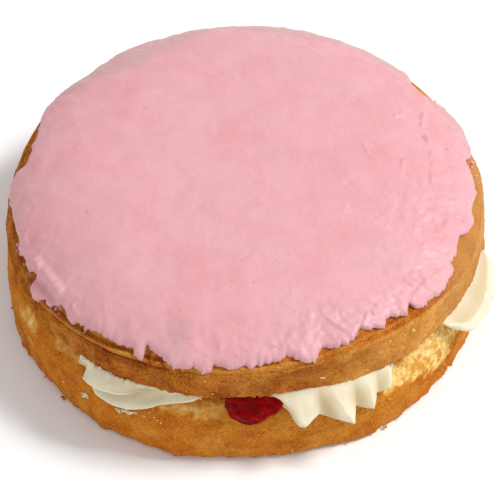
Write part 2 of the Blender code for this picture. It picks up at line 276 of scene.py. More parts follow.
def near_line(x, y, points):
    """Distance from (x, y) to a line of points, and the share of the line at the nearest place."""
    best = np.full(np.shape(x), 1e9)
    share = np.zeros(np.shape(x))
    count = len(points) - 1
    for i in range(count):
        ax, ay = points[i]
        bx, by = points[i + 1]
        length = (bx - ax) ** 2 + (by - ay) ** 2
        t = np.clip(((x - ax) * (bx - ax) + (y - ay) * (by - ay)) / length, 0.0, 1.0)
        far = np.hypot(x - ax - t * (bx - ax), y - ay - t * (by - ay))
        share = np.where(far < best, (i + t) / count, share)
        best = np.minimum(best, far)
    return best, share


# Shapes that the CAD solids have


def lower_radius(deg):
    return LOWER_RADIUS + around(deg, FOOT_WANDER)


def lower_top(r, deg):
    """Height of the lower sponge's top: flat, with a big rounded shoulder."""
    edge = lower_radius(deg)
    return LOWER_HEIGHT - SHOULDER_DROP * (1.0 - quarter((r - SHOULDER_START) / (edge - SHOULDER_START)))


def dome(r, deg):
    """Height of the upper sponge's top, from its middle down to the crease."""
    crease = around(deg, CREASE_HEIGHT)
    t = np.clip(r / DOME_RADIUS, 0.0, 1.0)
    return crease + (DOME_HEIGHT - crease) * np.clip(1.0 - t ** DOME_POWER, 0.0, 1.0) ** DOME_SWELL


def dome_offset(r, deg, away):
    """A point that lies a distance away from the dome, along its normal. Past the crease it runs down."""
    step = 0.05
    near = np.minimum(r, DOME_RADIUS - 0.3)
    slope = (dome(near + step, deg) - dome(near - step, deg)) / (2.0 * step)
    length = np.sqrt(1.0 + slope ** 2)
    past = 1.6 * (r - near)
    return near + (past - away * slope) / length, dome(near, deg) + (past * slope + away) / length


def ceiling(r, deg):
    """Height of the upper sponge's underside: it comes down from the filling to the rim."""
    rim = around(deg, RIM_HEIGHT)
    return ROOF_HEIGHT + (rim - ROOF_HEIGHT) * ease((r - ROOF_START) / ROOF_RUN)


def bed(r, deg, clear):
    """Lowest height for filling on the lower sponge, or far below outside it."""
    edge = lower_radius(deg) + clear
    return np.where(r < edge, lower_top(np.minimum(r - clear, edge), deg) + clear, -99.0)


# Meshes


def ring_points(rings, degs):
    """Points of rings of (radius, height): an array of rings, columns and x, y, z."""
    rows = []
    for r, z in rings:
        x, y = flat_place(r, degs)
        rows.append(np.stack((x, y, z + np.zeros(len(degs))), axis=-1))
    return np.array(rows)


def outward(points):
    """The normals of a grid of rings."""
    across = np.roll(points, -1, axis=1) - np.roll(points, 1, axis=1)
    down = np.gradient(points, axis=0)
    normal = np.cross(down, across)
    return normal / np.maximum(np.linalg.norm(normal, axis=-1, keepdims=True), 1e-9)


def relief(points, height):
    """The grid with each point moved out along its normal."""
    return points + outward(points) * height[..., None]


def in_box(points):
    """Points held inside the CAD model's box."""
    low = np.array(CAD_BOX[0]) / MM
    high = np.array(CAD_BOX[1]) / MM
    return np.clip(points, low, high)


def shape_of(name, points, faces, material, masks=None):
    """An object from points in millimetres, with a float attribute for each mask."""
    mesh = bpy.data.meshes.new(name)
    mesh.from_pydata(in_box(points) * MM, [], faces)
    mesh.polygons.foreach_set("use_smooth", [True] * len(mesh.polygons))
    for label, values in (masks or {}).items():
        layer = mesh.attributes.new(label, "FLOAT", "POINT")
        layer.data.foreach_set("value", np.asarray(values, np.float32))
    mesh.materials.append(material)
    mesh.validate()
    piece = bpy.data.objects.new(name, mesh)
    bpy.context.scene.collection.objects.link(piece)
    return piece


def grid_faces(rings, columns, first):
    """Quads between neighbouring rings, whose points start at first."""
    at = first + np.arange(rings * columns).reshape(rings, columns)
    after = np.roll(at, -1, axis=1)
    quads = np.stack((at[:-1], at[1:], after[1:], after[:-1]), axis=-1)
    return quads.reshape(-1, 4).tolist()


def closed_grid(name, points, top, bottom, material, masks=None):
    """A closed body from a grid of rings, with a pole at the top and one at the bottom."""
    rings, columns = points.shape[:2]
    places = np.vstack(([[0.0, 0.0, top]], points.reshape(-1, 3), [[0.0, 0.0, bottom]]))
    faces = grid_faces(rings, columns, 1)
    end = 1 + (rings - 1) * columns
    last = len(places) - 1
    for c in range(columns):
        after = (c + 1) % columns
        faces.append((0, 1 + c, 1 + after))
        faces.append((end + c, last, end + after))
    full = {}
    for label, values in (masks or {}).items():
        full[label] = np.concatenate(([0.0], values.reshape(-1), [0.0]))
    return shape_of(name, places, faces, material, full)


def even_degrees(columns):
    return np.arange(columns) * 360.0 / columns - 180.0


def degrees_by_zone(zones):
    """Column angles: each zone (start, end, step) is filled evenly."""
    degs = []
    for start, end, step in zones:
        count = max(1, round((end - start) / step))
        degs.extend(start + (end - start) * i / count for i in range(count))
    return np.array(degs)


# Materials


def linear(red, green, blue):
    """A colour of 0 to 255 a channel, as the shader takes it."""
    channels = []
    for value in (red, green, blue):
        share = value / 255.0
        channels.append(share / 12.92 if share <= 0.04045 else ((share + 0.055) / 1.055) ** 2.4)
    return (*channels, 1.0)


class Look:
    """A material and its shader, with short calls for nodes. Sizes and depths are in millimetres."""

    def __init__(self, name, roughness):
        self.material = bpy.data.materials.new(name)
        self.material.use_nodes = True
        self.nodes = self.material.node_tree.nodes
        self.link = self.material.node_tree.links.new
        self.shader = self.nodes["Principled BSDF"]
        self.shader.inputs["Roughness"].default_value = roughness

    def feed(self, socket, value):
        """Links a socket to another one, or sets it to a number or colour."""
        if isinstance(value, bpy.types.NodeSocket):
            self.link(value, socket)
        else:
            socket.default_value = value

    def speckle(self, size, detail=2.0, warp=0.0):
        """Noise on the object's own coordinates, with spots of a size."""
        place = self.nodes.new("ShaderNodeTexCoord")
        texture = self.nodes.new("ShaderNodeTexNoise")
        texture.inputs["Scale"].default_value = 1.0 / (size * MM)
        texture.inputs["Detail"].default_value = detail
        texture.inputs["Distortion"].default_value = warp
        self.link(place.outputs["Object"], texture.inputs["Vector"])
        return texture.outputs["Fac"]

    def mask(self, label):
        """A float attribute that the mesh carries."""
        node = self.nodes.new("ShaderNodeAttribute")
        node.attribute_name = label
        return node.outputs["Fac"]

    def ramp(self, value, *stops):
        """Colours by a value: each stop is (value, colour)."""
        node = self.nodes.new("ShaderNodeValToRGB")
        parts = node.color_ramp.elements
        parts[0].position, parts[0].color = stops[0]
        parts[1].position, parts[1].color = stops[-1]
        for position, colour in stops[1:-1]:
            parts.new(position).color = colour
        self.link(value, node.inputs["Fac"])
        return node.outputs["Color"]

    def mapped(self, value, low, high, start=0.0, end=1.0):
        """A value mapped from low..high to start..end, and held there."""
        node = self.nodes.new("ShaderNodeMapRange")
        for label, number in (("From Min", low), ("From Max", high), ("To Min", start), ("To Max", end)):
            node.inputs[label].default_value = number
        self.link(value, node.inputs["Value"])
        return node.outputs["Result"]

    def mixed(self, share, first, second, how="MIX"):
        """Two colours mixed by a share."""
        node = self.nodes.new("ShaderNodeMix")
        node.data_type = "RGBA"
        node.blend_type = how
        for number, value in ((0, share), (6, first), (7, second)):
            self.feed(node.inputs[number], value)
        return node.outputs[2]

    def joined(self, first, second, how="ADD"):
        """Two values added or multiplied."""
        node = self.nodes.new("ShaderNodeMath")
        node.operation = how
        self.feed(node.inputs[0], first)
        self.feed(node.inputs[1], second)
        return node.outputs[0]

    def finish(self, colour, touch, depth, gleam):
        """Links the colour and a bump from touch, sets the gloss, and gives the material."""
        node = self.nodes.new("ShaderNodeBump")
        node.inputs["Distance"].default_value = depth * MM
        self.link(touch, node.inputs["Height"])
        self.link(node.outputs["Normal"], self.shader.inputs["Normal"])
        self.link(colour, self.shader.inputs["Base Color"])
        self.shader.inputs["Specular IOR Level"].default_value = gleam
        return self.material

    def roughness(self, value, start, end):
        """Roughness that follows a value from start to end."""
        self.link(self.mapped(value, 0.3, 0.7, start, end), self.shader.inputs["Roughness"])

    def soak(self, weight, radius, depth):
        """Light soaks in under the surface."""
        self.shader.inputs["Subsurface Weight"].default_value = weight
        self.shader.inputs["Subsurface Radius"].default_value = radius
        self.shader.inputs["Subsurface Scale"].default_value = depth * MM


def crust(name, light, dark, pale, gloss):
    """Baked sponge: brown crust, darker where baked more and under painted shade, with light specks in its
    grain as painted glints, and pale crumb where rubbed off.
    """
    look = Look(name, gloss)
    blotch = look.speckle(8.0, 4.0, 0.6)
    fine = look.speckle(1.3, 3.0)
    tiny = look.speckle(0.55, 1.0)
    grainy = look.joined(look.joined(fine, 0.5, "MULTIPLY"), look.joined(tiny, 0.5, "MULTIPLY"))
    light_crust = look.ramp(blotch, *zip((0.32, 0.5, 0.68), light))
    dark_crust = look.ramp(blotch, *zip((0.32, 0.5, 0.68), dark))
    brown = look.mixed(look.mask("bake_and_shade"), light_crust, dark_crust)
    shade = look.ramp(grainy, (0.36, (0.62, 0.52, 0.40, 1.0)), (0.5, (0.90, 0.88, 0.84, 1.0)),
                      (0.62, (1.0, 1.0, 1.0, 1.0)))
    brown = look.mixed(0.85, brown, shade, "MULTIPLY")
    # Light tan specks on the finest grain: painted glints of the glossy crust.
    brown = look.mixed(look.mapped(tiny, 0.56, 0.72, 0.0, 0.4), brown, linear(232, 176, 112))
    golden = look.mixed(0.5, brown, linear(226, 158, 58))
    soft = look.speckle(2.4, 3.0)
    edge = look.joined(look.mask("crumb"), look.mapped(soft, 0.3, 0.7, -0.2, 0.2))
    crumb = look.ramp(look.speckle(2.2, 3.0, 0.3), *zip((0.36, 0.5, 0.64), pale))
    colour = look.mixed(look.mapped(edge, 0.1, 0.5), brown, golden)
    colour = look.mixed(look.mapped(edge, 0.3, 1.0), colour, crumb)
    look.roughness(fine, gloss - 0.1, gloss + 0.1)
    look.soak(0.06, (1.0, 0.55, 0.25), 0.8)
    return look, colour, grainy


def lower_sponge_material():
    light = (linear(198, 122, 32), linear(210, 140, 48), linear(220, 156, 66))
    dark = (linear(180, 92, 8), linear(198, 113, 16), linear(208, 130, 30))
    pale = (linear(208, 152, 66), linear(230, 190, 112), linear(242, 214, 150))
    look, colour, grainy = crust("sponge_lower", light, dark, pale, 0.8)
    return look.finish(colour, grainy, 0.5, 0.07)


def upper_sponge_material():
    light = (linear(202, 131, 46), linear(214, 148, 64), linear(224, 162, 82))
    dark = (linear(146, 66, 4), linear(177, 94, 12), linear(197, 119, 28))
    pale = (linear(206, 152, 96), linear(220, 174, 128), linear(230, 192, 152))
    look, colour, grainy = crust("sponge_upper", light, dark, pale, 0.7)
    colour = look.mixed(look.mask("dull"), colour, linear(174, 121, 72))
    colour = look.mixed(look.mask("smear"), colour, linear(214, 150, 146))
    return look.finish(colour, grainy, 0.5, 0.07)


def icing_material():
    """Satin pink icing: cloudy, greyer where it is thin over the crust and under painted shade, a deeper pink
    as painted shade in its dents, with orange flecks.
    """
    look = Look("icing", 0.45)
    cloud = look.speckle(34.0, 4.0, 0.8)
    patch = look.speckle(11.0, 4.0, 0.5)
    pink = look.ramp(cloud, (0.36, linear(222, 156, 163)), (0.5, linear(221, 163, 169)),
                     (0.64, linear(219, 166, 170)))
    soft = look.ramp(patch, (0.36, linear(216, 154, 160)), (0.62, linear(225, 168, 174)))
    colour = look.mixed(0.45, pink, soft)
    # Greyer where the icing is thin over the crust, and painted shade at the far back edge, which slopes from
    # the light, and in a dimple.
    thin = look.joined(look.mask("thin"), look.mapped(patch, 0.3, 0.7, 0.5, 1.2), "MULTIPLY")
    colour = look.mixed(thin, colour, linear(194, 159, 154))
    # A deeper pink in the dents and the fold's hollow: painted shade.
    dent_shade = look.joined(look.mask("dent_shade"), 0.18, "MULTIPLY")
    colour = look.mixed(dent_shade, colour, linear(214, 138, 148))
    fleck = look.mapped(look.speckle(2.3, 0.0), 0.82, 0.85, 0.0, 0.5)
    colour = look.mixed(fleck, colour, linear(216, 130, 84))
    look.roughness(patch, 0.55, 0.4)
    look.soak(0.2, (1.0, 0.5, 0.45), 1.2)
    return look.finish(colour, look.speckle(1.5, 4.0), 0.2, 0.4)


def cream_material():
    """Whipped cream: creamy white, with painted shade, yellower and darker, in its hollows and on faces
    turned from the light.
    """
    look = Look("cream_filling", 0.45)
    fine = look.speckle(0.9, 2.0)
    plain = look.ramp(look.speckle(8.0, 2.0), (0.35, linear(227, 215, 185)), (0.65, linear(233, 224, 197)))
    # Painted shade: a yellower, darker tint in the hollows, under the lips and rim, and on the shell's faces
    # turned from the light.
    colour = look.mixed(look.mask("painted_shade"), plain, linear(197, 172, 126))
    look.roughness(fine, 0.38, 0.55)
    look.soak(0.25, (1.0, 0.8, 0.5), 1.0)
    return look.finish(colour, fine, 0.06, 0.35)


def jam_material():
    """Wet strawberry jam: deep red, darker in the lumps, very glossy."""
    look = Look("jam_layer", 0.12)
    lumps = look.speckle(3.5, 2.0, 0.5)
    colour = look.ramp(lumps, (0.35, linear(104, 0, 0)), (0.5, linear(126, 1, 0)), (0.68, linear(150, 4, 2)))
    look.roughness(lumps, 0.06, 0.18)
    look.soak(0.1, (1.0, 0.1, 0.05), 0.8)
    return look.finish(colour, look.speckle(1.4, 1.0), 0.12, 0.05)


def crumb_material(name, light, dark):
    """Loose crumb or flake of crust: matt, with a mottled colour."""
    look = Look(name, 0.8)
    fine = look.speckle(0.6, 2.0)
    return look.finish(look.ramp(fine, (0.35, light), (0.65, dark)), fine, 0.2, 0.15)


# Lower sponge

CRUMB_LOW = (
    (-62, 34), (-59, 26), (-56, 23.5), (-52, 21.5), (-47, 18), (-41.5, 15), (-35.5, 16), (-30, 17),
    (-26, 21), (-23, 34))
SIDE_FOLD = (
    (-82, 11), (-77.6, 12.2), (-70.6, 15.7), (-63.4, 19.5), (-55.4, 21.1), (-48.1, 23.6), (-39.7, 29.4),
    (-33.4, 29))
# How browned the lower crust is round the cake, as (degrees, share): real browning, with painted shade making
# the left, away from the light, darker.
LOWER_BAKE_AND_SHADE = (
    (-175, 0.9), (-140, 0.95), (-110, 0.8), (-92, 0.5), (-75, 0.6), (-58, 0.6), (-40, 0.8), (-20, 0.7),
    (40, 0.5), (120, 0.6))


def lower_rings(degs):
    edge = lower_radius(degs)
    rings = [(r, LOWER_HEIGHT) for r in (20.0, 45.0, 68.0, 82.0)]
    for turn in np.linspace(0.0, 90.0, 38):
        r = SHOULDER_START + (edge - SHOULDER_START) * math.sin(math.radians(turn))
        rings.append((r, LOWER_HEIGHT - SHOULDER_DROP * (1.0 - math.cos(math.radians(turn)))))
    for z in np.linspace(LOWER_HEIGHT - SHOULDER_DROP - 0.6, FOOT_ROUND, 26):
        rings.append((edge, z))
    for turn in (18.0, 36.0, 54.0, 72.0, 90.0):
        r = edge - FOOT_ROUND * (1.0 - math.cos(math.radians(turn)))
        rings.append((r, FOOT_ROUND * (1.0 - math.sin(math.radians(turn)))))
    rings += [(edge - FOOT_ROUND - step, 0.0) for step in (1.0, 2.5, 5.0, 12.0, 30.0, 60.0)]
    return rings


def rubbed_lower(points, turn):
    """1 where the lower sponge's crust is rubbed off and pale crumb shows."""
    z = points[..., 2]
    wander = 2.4 * noise(points, 5.0, 21) + 1.2 * noise(points, 2.2, 22)
    low = straight(turn, CRUMB_LOW)
    right = ease((z - low + wander + 1.5) / 5.0) * inside(turn + 0.6 * wander, (-61, -24), 4.0)
    right = right * (1.0 - 0.5 * ease((noise(points, 4.5, 23) - 0.35) / 0.4))
    front = 0.62 * inside(turn, (-113, -90), 7.0) * bump(z + 0.4 * wander, 28.5, 5.0)
    left = 0.8 * inside(turn + 0.4 * wander, (-156, -146), 3.0) * bump(z + 0.3 * wander, 25.5, 6.0)
    stripe = 0.5 * inside(turn, (-144, -129), 4.0) * bump(z + 0.4 * wander, 29.5, 3.5)
    low_left = 0.45 * inside(turn, (-155, -146), 3.0) * bump(z + 0.4 * wander, 14.5, 6.0)
    back = ease((noise(points, 16.0, 24) - 0.35) / 0.4) * ease((z - 14.0) / 10.0)
    back = back * ease((np.abs(turned(turn + 90.0)) - 75.0) / 25.0)
    return np.maximum.reduce([right, front, left, stripe, low_left, 0.8 * back])


def lower_relief(points, turn, crumb):
    """The crust's swell, streaks, grain and side fold, and the ragged foot."""
    z = points[..., 2]
    shown = ease((np.hypot(points[..., 0], points[..., 1]) - 84.0) / 4.0)
    swell = 0.4 * noise(points, 17.0, 1) + 0.25 * noise(points, 7.0, 2)
    streak = 0.14 * noise(points * (1.0, 1.0, 5.0), 8.0, 3)
    grain = 0.13 * noise(points, 1.8, 4) + 0.10 * noise(points, 1.0, 5)
    rubbed = crumb * (0.22 * noise(points, 1.7, 6) - 0.35)
    line = straight(turn, SIDE_FOLD)
    fold = inside(turn, (-84, -32), 8.0) * (0.7 * bump(z, line + 1.3, 2.0) - 0.8 * bump(z, line - 0.6, 1.3))
    foot = ease((4.5 - z) / 4.0) * (0.7 * noise(points, 3.4, 7) + 0.45 * noise(points, 1.5, 8) - 0.25)
    under = ease(z / 0.4)
    return shown * (swell + streak + grain + rubbed + fold) * under + foot


def sponge_lower(material):
    degs = even_degrees(SPONGE_COLUMNS)
    points = ring_points(lower_rings(degs), degs)
    turn = degs[None, :] + np.zeros(points.shape[:2])
    crumb = rubbed_lower(points, turn)
    points = relief(points, lower_relief(points, turn, crumb))
    # Browning round the cake, darker on the left as painted shade, away from the light.
    bake_and_shade = around(turn, LOWER_BAKE_AND_SHADE) + 0.25 * noise(points, 12.0, 9)
    masks = {"crumb": crumb, "bake_and_shade": np.clip(bake_and_shade, 0.0, 1.0)}
    return closed_grid("lower_sponge", points, LOWER_HEIGHT, 0.0, material, masks)


# Upper sponge

CREASE_FOLDS = (
    (-172, 0.5), (-160, 0.8), (-145, 1.0), (-113, 1.0), (-104, 0.45), (-96, 0.3), (-84, 0.35), (-70, 0.3),
    (-55, 0.3), (-40, 0.25), (-20, 0.1), (20, 0.1), (70, 0.7), (120, 0.5), (160, 0.5))
# How browned the upper skin is round the cake, as (degrees, share): real browning, with painted shade making
# the left, away from the light, darker.
UPPER_BAKE_AND_SHADE = (
    (-175, 1.0), (-150, 1.0), (-138, 0.8), (-120, 0.6), (-100, 0.7), (-80, 0.6), (-60, 0.7), (-40, 0.95),
    (-15, 0.25), (15, 0.1), (60, 0.4), (120, 0.7))
# The same for the upper sponge's side: real browning, with painted shade on the left, away from the light.
SIDE_BAKE_AND_SHADE = (
    (-175, 1.0), (-150, 1.0), (-120, 0.85), (-100, 0.9), (-80, 0.8), (-62, 0.35), (-45, 0.05), (20, 0.0),
    (60, 0.4), (120, 0.8))
CURL = ((-112.0, 52.6), (-110.8, 54.2), (-109.2, 54.0), (-107.8, 52.2), (-106.0, 50.9))


def curl_distance(turn, z):
    """Distance on the side from the small curl of crust."""
    return near_line(turn * SIDE_DEGREE, z, [(deg * SIDE_DEGREE, high) for deg, high in CURL])[0]


def upper_rings(degs):
    crease = around(degs, CREASE_HEIGHT)
    edge = around(degs, UPPER_RADIUS)
    rim = around(degs, RIM_HEIGHT)
    rings = [(r, dome(r, degs)) for r in (20.0, 45.0, 66.0, 80.0)]
    for share in np.linspace(0.0, 1.0, 32):
        r = SKIN_START + (DOME_RADIUS - SKIN_START - 0.1) * (1.0 - (1.0 - share) ** 1.5)
        rings.append((r, dome(r, degs)))
    shoulder = np.minimum(edge, DOME_RADIUS + 0.6)
    rings.append((DOME_RADIUS + 0.2, crease - 0.3))
    rings.append((DOME_RADIUS + 0.2, crease - 0.9))
    side_end = rim + RIM_ROUND * 0.8
    for share in np.linspace(0.0, 1.0, 24):
        r = shoulder + (edge - shoulder) * ease(share / 0.7)
        rings.append((r, crease - 1.5 + (side_end - crease + 1.5) * share))
    for turn in (15.0, 30.0, 45.0, 60.0, 75.0, 90.0):
        r = edge - RIM_ROUND * (1.0 - math.cos(math.radians(turn)))
        rings.append((r, side_end - RIM_ROUND * 0.8 * math.sin(math.radians(turn))))
    for share in (0.15, 0.3, 0.5, 0.75, 1.0):
        r = (edge - RIM_ROUND) + (ROOF_START - edge + RIM_ROUND) * share
        rings.append((r, ceiling(r, degs)))
    rings += [(70.0, ROOF_HEIGHT), (40.0, ROOF_HEIGHT)]
    return rings


def upper_relief(points, turn):
    """Folds beside the crease, the grainy side and the uneven rim."""
    x, y, z = points[..., 0], points[..., 1], points[..., 2]
    r = np.hypot(x, y)
    crease = around(turn, CREASE_HEIGHT)
    rim = around(turn, RIM_HEIGHT)
    wave = 0.5 * noise(points * (1.0, 1.0, 0.0), 9.0, 31)
    up = np.where(z > crease, np.hypot(DOME_RADIUS - r, z - crease), crease - z)
    skin = z > crease
    folds = around(turn, CREASE_FOLDS)
    ropes = 1.2 * bump(up, 2.3 + wave, 1.2) - 1.2 * bump(up, 4.0 + wave, 1.0) - 1.3 * bump(up, 0.7, 0.9)
    height = np.where(skin, folds * ropes, -folds * 0.8 * bump(up, 0.3, 0.9))
    side = ease((crease - z - 0.5) / 1.5) * ease((r - 88.0) / 4.0)
    height = height + side * (0.16 * noise(points, 1.7, 32) + 0.13 * noise(points, 1.0, 33))
    height = height + side * 0.15 * noise(points * (1.0, 1.0, 4.0), 8.0, 34)
    swell = 0.3 * noise(points, 15.0, 35) + 0.2 * noise(points, 6.0, 36)
    height = height + swell * ease((r - 90.0) / 5.0)
    lip = bump(z, rim + 0.5, 2.5) * (0.45 * noise(points, 2.6, 37) + 0.35 * noise(points, 1.2, 38))
    curl = curl_distance(turn, z)
    height = height + 1.3 * bump(curl, 0.0, 1.1) - 0.9 * bump(curl, 1.8, 0.9)
    return height + side * lip + 0.04 * noise(points, 1.2, 39) * ease((r - 88.0) / 3.0)


def sponge_upper(material):
    degs = even_degrees(SPONGE_COLUMNS)
    points = ring_points(upper_rings(degs), degs)
    turn = degs[None, :] + np.zeros(points.shape[:2])
    r = np.hypot(points[..., 0], points[..., 1])
    z = points[..., 2]
    crease = around(turn, CREASE_HEIGHT)
    up = np.where(z > crease, np.hypot(DOME_RADIUS - r, z - crease), 0.0)
    points = relief(points, upper_relief(points, turn))
    wave = 0.5 * noise(points * (1.0, 1.0, 0.0), 9.0, 31)
    # Painted shade in the grooves beside the crease, a little lighter on the rope between them, and in the
    # groove beside the curl.
    groove_shade = bump(up, 0.6, 1.1) + bump(up, 4.1 + wave, 1.2) - 0.5 * bump(up, 2.3 + wave, 1.0)
    groove_shade = around(turn, CREASE_FOLDS) * groove_shade * (z > crease - 1.5) * (r > 90.0)
    curl = curl_distance(turn, z)
    bake_and_shade = around(turn, UPPER_BAKE_AND_SHADE) + 0.25 * noise(points, 9.0, 40) + 0.7 * groove_shade + 0.5 * bump(curl, 1.8, 1.1)
    bake_and_shade = bake_and_shade + 0.45 * inside(turn, (-48, -32), 8.0)
    side = ease((crease - z) / 1.5)
    bake_and_shade = bake_and_shade * (1.0 - side) + side * (around(turn, SIDE_BAKE_AND_SHADE) + 0.25 * noise(points, 9.0, 40))
    streaks = noise(points * (1.0, 1.0, 3.0), 3.0, 41)
    rubbed = 0.5 * ease((crease - 0.2 - z) / 1.2) * ease((z - crease + 8.0) / 5.0)
    rubbed = rubbed * inside(turn, (-52, 12), 16.0)
    rubbed = rubbed * (0.85 + 0.45 * streaks) + 0.2 * bump(z, around(turn, RIM_HEIGHT) + 1.0, 1.5)
    smear = ease((noise(points, 2.6, 42) - 0.1) / 0.5) * inside(turn, (-167, -137), 3.0)
    smear = 0.7 * smear * bump(r, 96.8, 2.4) * (z > crease)
    masks = {"crumb": np.clip(rubbed, 0, 1), "bake_and_shade": np.clip(bake_and_shade, 0, 1), "smear": np.clip(smear, 0, 1),
             "dull": 0.5 * inside(turn, (-46.0, 40.0), 14.0)}
    return closed_grid("upper_sponge", points, DOME_HEIGHT, ROOF_HEIGHT, material, masks)


# Icing

# The ridge where the icing folded over at the left, as (degrees, radius)
FOLD_RIDGE = (
    (-157, 93.4), (-154.2, 92.9), (-152, 92.8), (-150, 92.3), (-148.2, 91.9), (-145.9, 92.1),
    (-143.3, 92.3), (-141, 92.6))
# A faint ridge behind the fold, as (x, y)
SPIKE_RIDGE = ((-88, -24), (-89, -28))
# The degrees of the icing's long drip
TONGUE = (-118.4, -112.2)
# Where the thin, greyish outer band of the back starts, as (degrees, radius); its grey is partly painted
# shade, where the icing slopes away from the light
THIN_SHADED_START = (
    (-170, 102), (4, 102), (15, 91), (30, 89), (52, 87), (75, 85), (94, 87), (110, 82.5), (117, 78),
    (126, 73.5), (133, 77), (141, 85), (150, 93), (160, 102))
# Small raised scars and dents of the right side, each as (x, y, x, y, half width, height)
SCARS = (
    (75.6, 34, 75, 27, 1.5, 1.6), (72.4, 36, 73, 26, 1.4, -0.4), (63.5, 42, 66, 33, 1.3, -0.3),
    (63.5, 30, 66.5, 31.5, 1.2, 1.1), (75.5, 19.5, 77.6, 16.6, 1.3, 1.3),
    (73.5, 20, 75.5, 16.5, 1.3, -0.3), (70.6, 11.4, 73.4, 10.9, 1.3, -0.35),
    (77.6, 11.4, 78, 8, 1.2, 0.9), (76.4, 5, 75, -9, 1.2, -0.35), (78.2, 4, 77, -6, 1.2, 0.5),
    (85, 15, 91, 14, 1.2, 0.6), (49.2, 14.5, 51, 7.2, 1.1, 0.6), (65.9, 4.6, 64.5, -1.4, 1.2, 0.6),
    (80, 25, 84, 20, 1.3, -0.25), (57, 24, 60, 17, 1.4, -0.4), (40, -13, 43, -10, 1.6, -0.3),
    (39, -32, 41, -22, 1.6, 0.35), (52, 14, 55, 10, 1.0, -0.3), (33, -80, 40, -84, 1.8, 0.5),
    (37, -84, 46, -78, 1.3, -0.3), (47, -70, 52, -72, 1.5, 0.5), (50, -76, 55, -73, 1.4, 0.6),
    (29, -90, 38, -88, 1.6, 0.7), (31, -92, 42, -90, 1.3, -0.3), (57, -56, 66, -60, 2.0, 0.6),
    (66, -66, 72, -58, 1.8, 0.5), (74, -56, 80, -49, 1.6, 0.5), (64, -55, 76, -50, 1.4, -0.4),
    (45, -84, 48, -76, 1.2, 0.5), (22, -78, 30, -76, 1.6, 0.35), (-72, -61, -70, -65, 1.2, 0.6),
    (-67, -64, -65, -68, 1.1, 0.6), (-69, -63, -67, -62, 1.2, -0.25), (-91, -22, -88, -30, 1.3, 0.7),
    (-93, -27, -90, -33, 1.0, -0.35), (-14, -41, -11, -38, 1.6, -0.3), (-2, -52, 2, -49, 1.5, -0.3),
    (-10, -66, -2, -62, 2.0, 0.3))
# The rings of its underside, each as (out from the edge, away from the dome)
UNDER_RINGS = ((0.2, 0.5), (0.12, 0.1), (-0.6, 0.0), (-4.0, 0.1), (-12.0, 0.1), (-40.0, 0.1), (-75.0, 0.1))
# Wide soft dips, each as (x, y, half width, depth)
DIPS = (
    (-29, -82, 9, 0.9), (-36, -50, 16, 0.5), (-66, -20, 20, 0.5), (-60, 40, 18, 0.5), (20, -6, 22, 0.4),
    (70, 8, 10, 0.4), (-5, 62, 20, 0.5), (60, 50, 12, 0.4))


def ragged_edge(deg):
    """Radius of the icing's edge, with its small teeth."""
    deg = turned(deg)
    first, radius = ICING_EDGE[0]
    edge = straight(deg, (*ICING_EDGE, (first + 360, radius)))
    round_it = on_circle(97.0, deg)
    teeth = 0.5 * noise(round_it, 2.0, 51) + 0.45 * noise(round_it, 0.95, 52)
    return edge + around(deg, EDGE_TEETH) * teeth


def leaned(deg, r):
    """The degree of the icing's outline at a radius: its long drip leans to the right."""
    return deg + 0.17 * np.clip(r - 93.0, 0.0, 7.0) * inside(turned(deg), TONGUE, 1.6)


def edge_distance(x, y, deg):
    """How far a point of the icing lies from its edge, sideways past teeth and notches too."""
    fine = np.arange(-180.0, 180.0, 0.1)
    radius = ragged_edge(fine)
    best = np.full(np.shape(x), 99.0)
    for shift in np.arange(-3.0, 3.01, 0.15):
        at = turned(deg + shift)
        r = np.interp(at, fine, radius)
        edge_x, edge_y = flat_place(r, leaned(at, r))
        best = np.minimum(best, np.hypot(x - edge_x, y - edge_y))
    return best


def fold_height(flat, r, deg):
    """The fold: a ridge that drops steeply outward, a hollow beyond it and a raised flap."""
    deg = turned(deg)
    past = r - knots(deg, FOLD_RIDGE)
    ridge = np.where(past < 0.0, bump(past, 0.0, 3.2), bump(past, 0.0, 1.5))
    ridge = ridge * (1.9 + 0.7 * noise(flat, 2.2, 58))
    flap = 0.7 * bump(past, 5.4, 1.5) * inside(deg, (-152.0, -145.0), 1.5)
    return (ridge - 1.4 * bump(past, 2.9, 1.8) + flap) * inside(deg, (-156.0, -140.5), 1.4)


def scar_height(x, y, flat):
    """The small scars: raised where positive."""
    height = np.zeros(np.shape(x))
    for ax, ay, bx, by, half, tall in SCARS:
        far, _ = near_line(x, y, ((ax, ay), (bx, by)))
        height = height + tall * (0.8 + 0.6 * noise(flat, 2.2, 59)) * bump(far, 0.0, half)
    return height


def icing_dent_shade(x, y, r, deg):
    """1 deep in the scars and in the fold's hollow, where painted shade makes the icing a deeper pink."""
    flat = level(x, y)
    return np.clip(-scar_height(x, y, flat) - 0.4 * fold_height(flat, r, deg), 0.0, 1.0)


